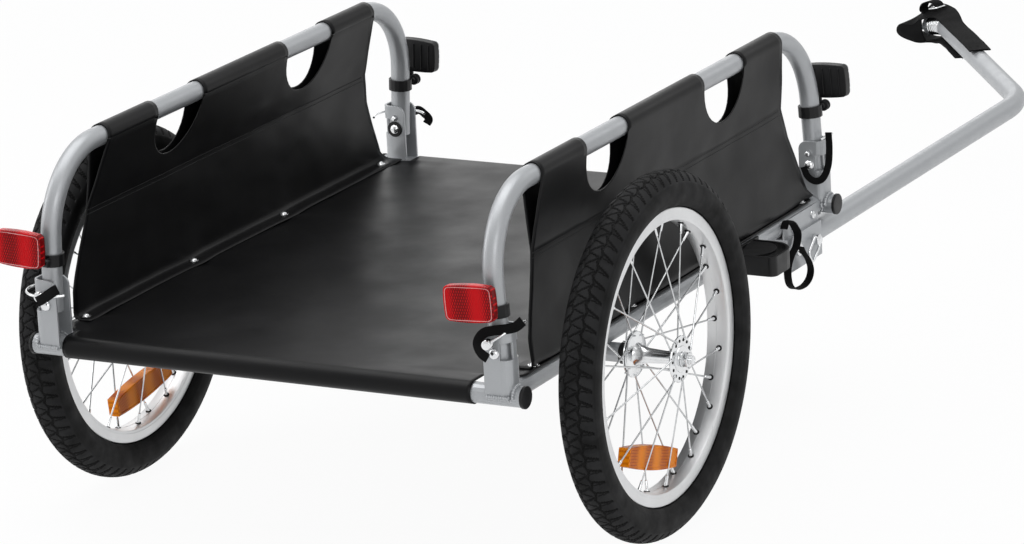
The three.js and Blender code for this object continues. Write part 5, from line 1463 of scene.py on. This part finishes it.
def strap_route():
    """The strap's middle line with its width's direction, from the arm over the hitch and back."""
    over = ARM_RADIUS + 1.4
    beyond = COUPLER_LENGTH + STRAP_SPARE
    bend = ARM_REACH + SPRING_LENGTH / 4

    def level(distance, rise):
        return arm_at(distance) + rise * MM * Z

    def past(distance, rise):
        return SPRING_END + MM * (distance * HITCH_WAY + rise * HITCH_UP)

    tilted = math.sin(STRAP_TILT) * HITCH_UP - math.cos(STRAP_TILT) * HITCH_SIDE
    between = (ARM_ACROSS + tilted).normalized()
    return [
        (level(213, over), ARM_ACROSS),
        (level(250, over + 0.6), ARM_ACROSS),
        (level(310, over + 0.2), ARM_ACROSS),
        (level(ARM_REACH - SPRING_LENGTH, over), ARM_ACROSS),
        (level(bend, over + STRAP_SPARE), between),
        (past(0, COUPLER_HALF + 2 * STRAP_SPARE), tilted),
        (past(17, COUPLER_HALF), tilted),
        (past(beyond - 4, 8), -HITCH_SIDE),
        (past(beyond + STRAP_SPARE, 0), -HITCH_SIDE),
        (past(beyond - 3, -8), -HITCH_SIDE),
        (past(17, -COUPLER_HALF - STRAP_SPARE), -HITCH_SIDE),
        (past(0, -COUPLER_HALF - 2 * STRAP_SPARE), -HITCH_SIDE),
        (level(bend, -over - STRAP_SPARE), between),
        (level(370, -over - 1), ARM_ACROSS),
        (level(300, -over), ARM_ACROSS),
    ]


def make_strap():
    route = strap_route()
    path = smooth_path([p for p, _ in route], PER_SPAN)
    across = smooth_path([a for _, a in route], PER_SPAN)
    widths = []
    for n in range(len(path)):
        stop = n / PER_SPAN
        wider = min(1.0, max(0.0, (stop - LOOP_START) / 2), max(0.0, (LOOP_END - stop) / 2))
        widths.append((STRAP_WIDTH + (LOOP_WIDTH - STRAP_WIDTH) * wider) * MM)
        loose = 0.4 if stop < LOOP_START else 1.0
        path[n] = path[n] + HITCH_UP * MM * loose * STRAP_CRUMPLE * noise.noise(path[n] * 55)
    marks = [round(PER_SPAN * stop) for stop in STRAP_MARKS]
    for n, (a, b) in enumerate(zip(marks, marks[1:])):
        run = slice(a, b + 1)
        points, faces, uv = ribbon(path[run], across[run], widths[run], STRAP_THICK, STRAP_BOW)
        made = piece(f"safety_strap_{n}", points, faces, "webbing", uv=uv)
        if n == 0:
            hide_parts("safety_strap")
        if n in (0, 4):
            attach(made, "arm")
        elif n in (1, 3):
            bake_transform(made)
        else:
            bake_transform(made)
    make_gusset(path, across, widths)
    make_buckle()


GUSSET_TOP, GUSSET_TIP, GUSSET_LOW = 5, 8, 11
GUSSET_STEPS, GUSSET_ROWS = 14, 9
GUSSET_SWELL, GUSSET_THICK = 2.5, 1.4


def make_gusset(path, across, widths):
    """The crumpled webbing between the loop's upper and lower runs, on the hitch's outer side."""

    def edge(stop):
        n = round(PER_SPAN * stop)
        return path[n] - across[n].normalized() * (widths[n] / 2 - MM)

    points = []
    for n in range(GUSSET_STEPS + 1):
        share = n / GUSSET_STEPS
        upper = edge(GUSSET_TOP + (GUSSET_TIP - GUSSET_TOP) * share)
        lower = edge(GUSSET_LOW + (GUSSET_TIP - GUSSET_LOW) * share)
        for k in range(GUSSET_ROWS + 1):
            v = k / GUSSET_ROWS
            p = upper.lerp(lower, v)
            swell = math.sin(math.pi * v) * (1 + noise.noise(p * 70)) * GUSSET_SWELL
            points.append(p + HITCH_SIDE * MM * swell)
    made = piece("strap_gusset", points, grid_faces(GUSSET_STEPS + 1, GUSSET_ROWS + 1), "webbing")
    thicken(made, GUSSET_THICK)
    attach(made, "hitch")


# The buckle's loop as (past the spring, above the hitch), its slider's corners, and the end ring
BUCKLE_LOOP = ((-20, 24), (-17, 29), (-8, 32), (3, 30), (8, 23), (4, 18))
SLIDER = ((-22, -9), (-8, -9), (-8, 9), (-22, 9), (-22, -9))
SLIDER_RISE, SLIDER_BEND, SLIDER_WIRE = 23, 2.5, 1.3
BUCKLE_WIDTH, BUCKLE_THICK = 17, 1.8
RING_AT, RING_DROP, END_RING, END_RING_WIRE = 297, 3.4, 4.2, 0.9


def make_buckle():
    """A small webbing loop with a steel slider on the strap, and a steel ring at its lower end."""
    stops = [SPRING_END + MM * (a * HITCH_WAY + rise * HITCH_UP) for a, rise in BUCKLE_LOOP]
    path = smooth_path(stops, 6)
    points, faces, uv = ribbon(path, -HITCH_SIDE, BUCKLE_WIDTH * MM, BUCKLE_THICK * MM)
    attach(piece("buckle_loop", points, faces, "webbing", uv=uv), "hitch")
    seat = SPRING_END + SLIDER_RISE * MM * HITCH_UP
    corners = [seat + MM * (a * HITCH_WAY + b * HITCH_SIDE) for a, b in SLIDER]
    start = (corners[0] + corners[1]) / 2
    wire = bent([start, *corners[1:], start], SLIDER_BEND * MM, math.radians(15))
    add("buckle_slider", tube(wire, SLIDER_WIRE * MM, 10), "chrome_steel", "hitch")
    centre = arm_at(RING_AT) - (ARM_RADIUS + RING_DROP) * MM * Z
    ring = arc(centre, END_RING, ARM_WAY, -ARM_ACROSS, 0, 2 * math.pi, 28)
    add("strap_end_ring", tube(ring, END_RING_WIRE * MM, 8), "chrome_steel", "arm")


make_camera()
make_light()
make_ground()
make_looks()
make_frame()
make_hoops()
make_corner_fittings()
make_tethers()
for corner in CORNERS:
    make_reflector(corner)
make_wheels()
make_panels()
make_stitching()
make_floor_sheet()
make_floor_screws()
make_tow_arm()
make_bail()
make_tow_tether()
make_guard()
make_hitch()
make_strap()
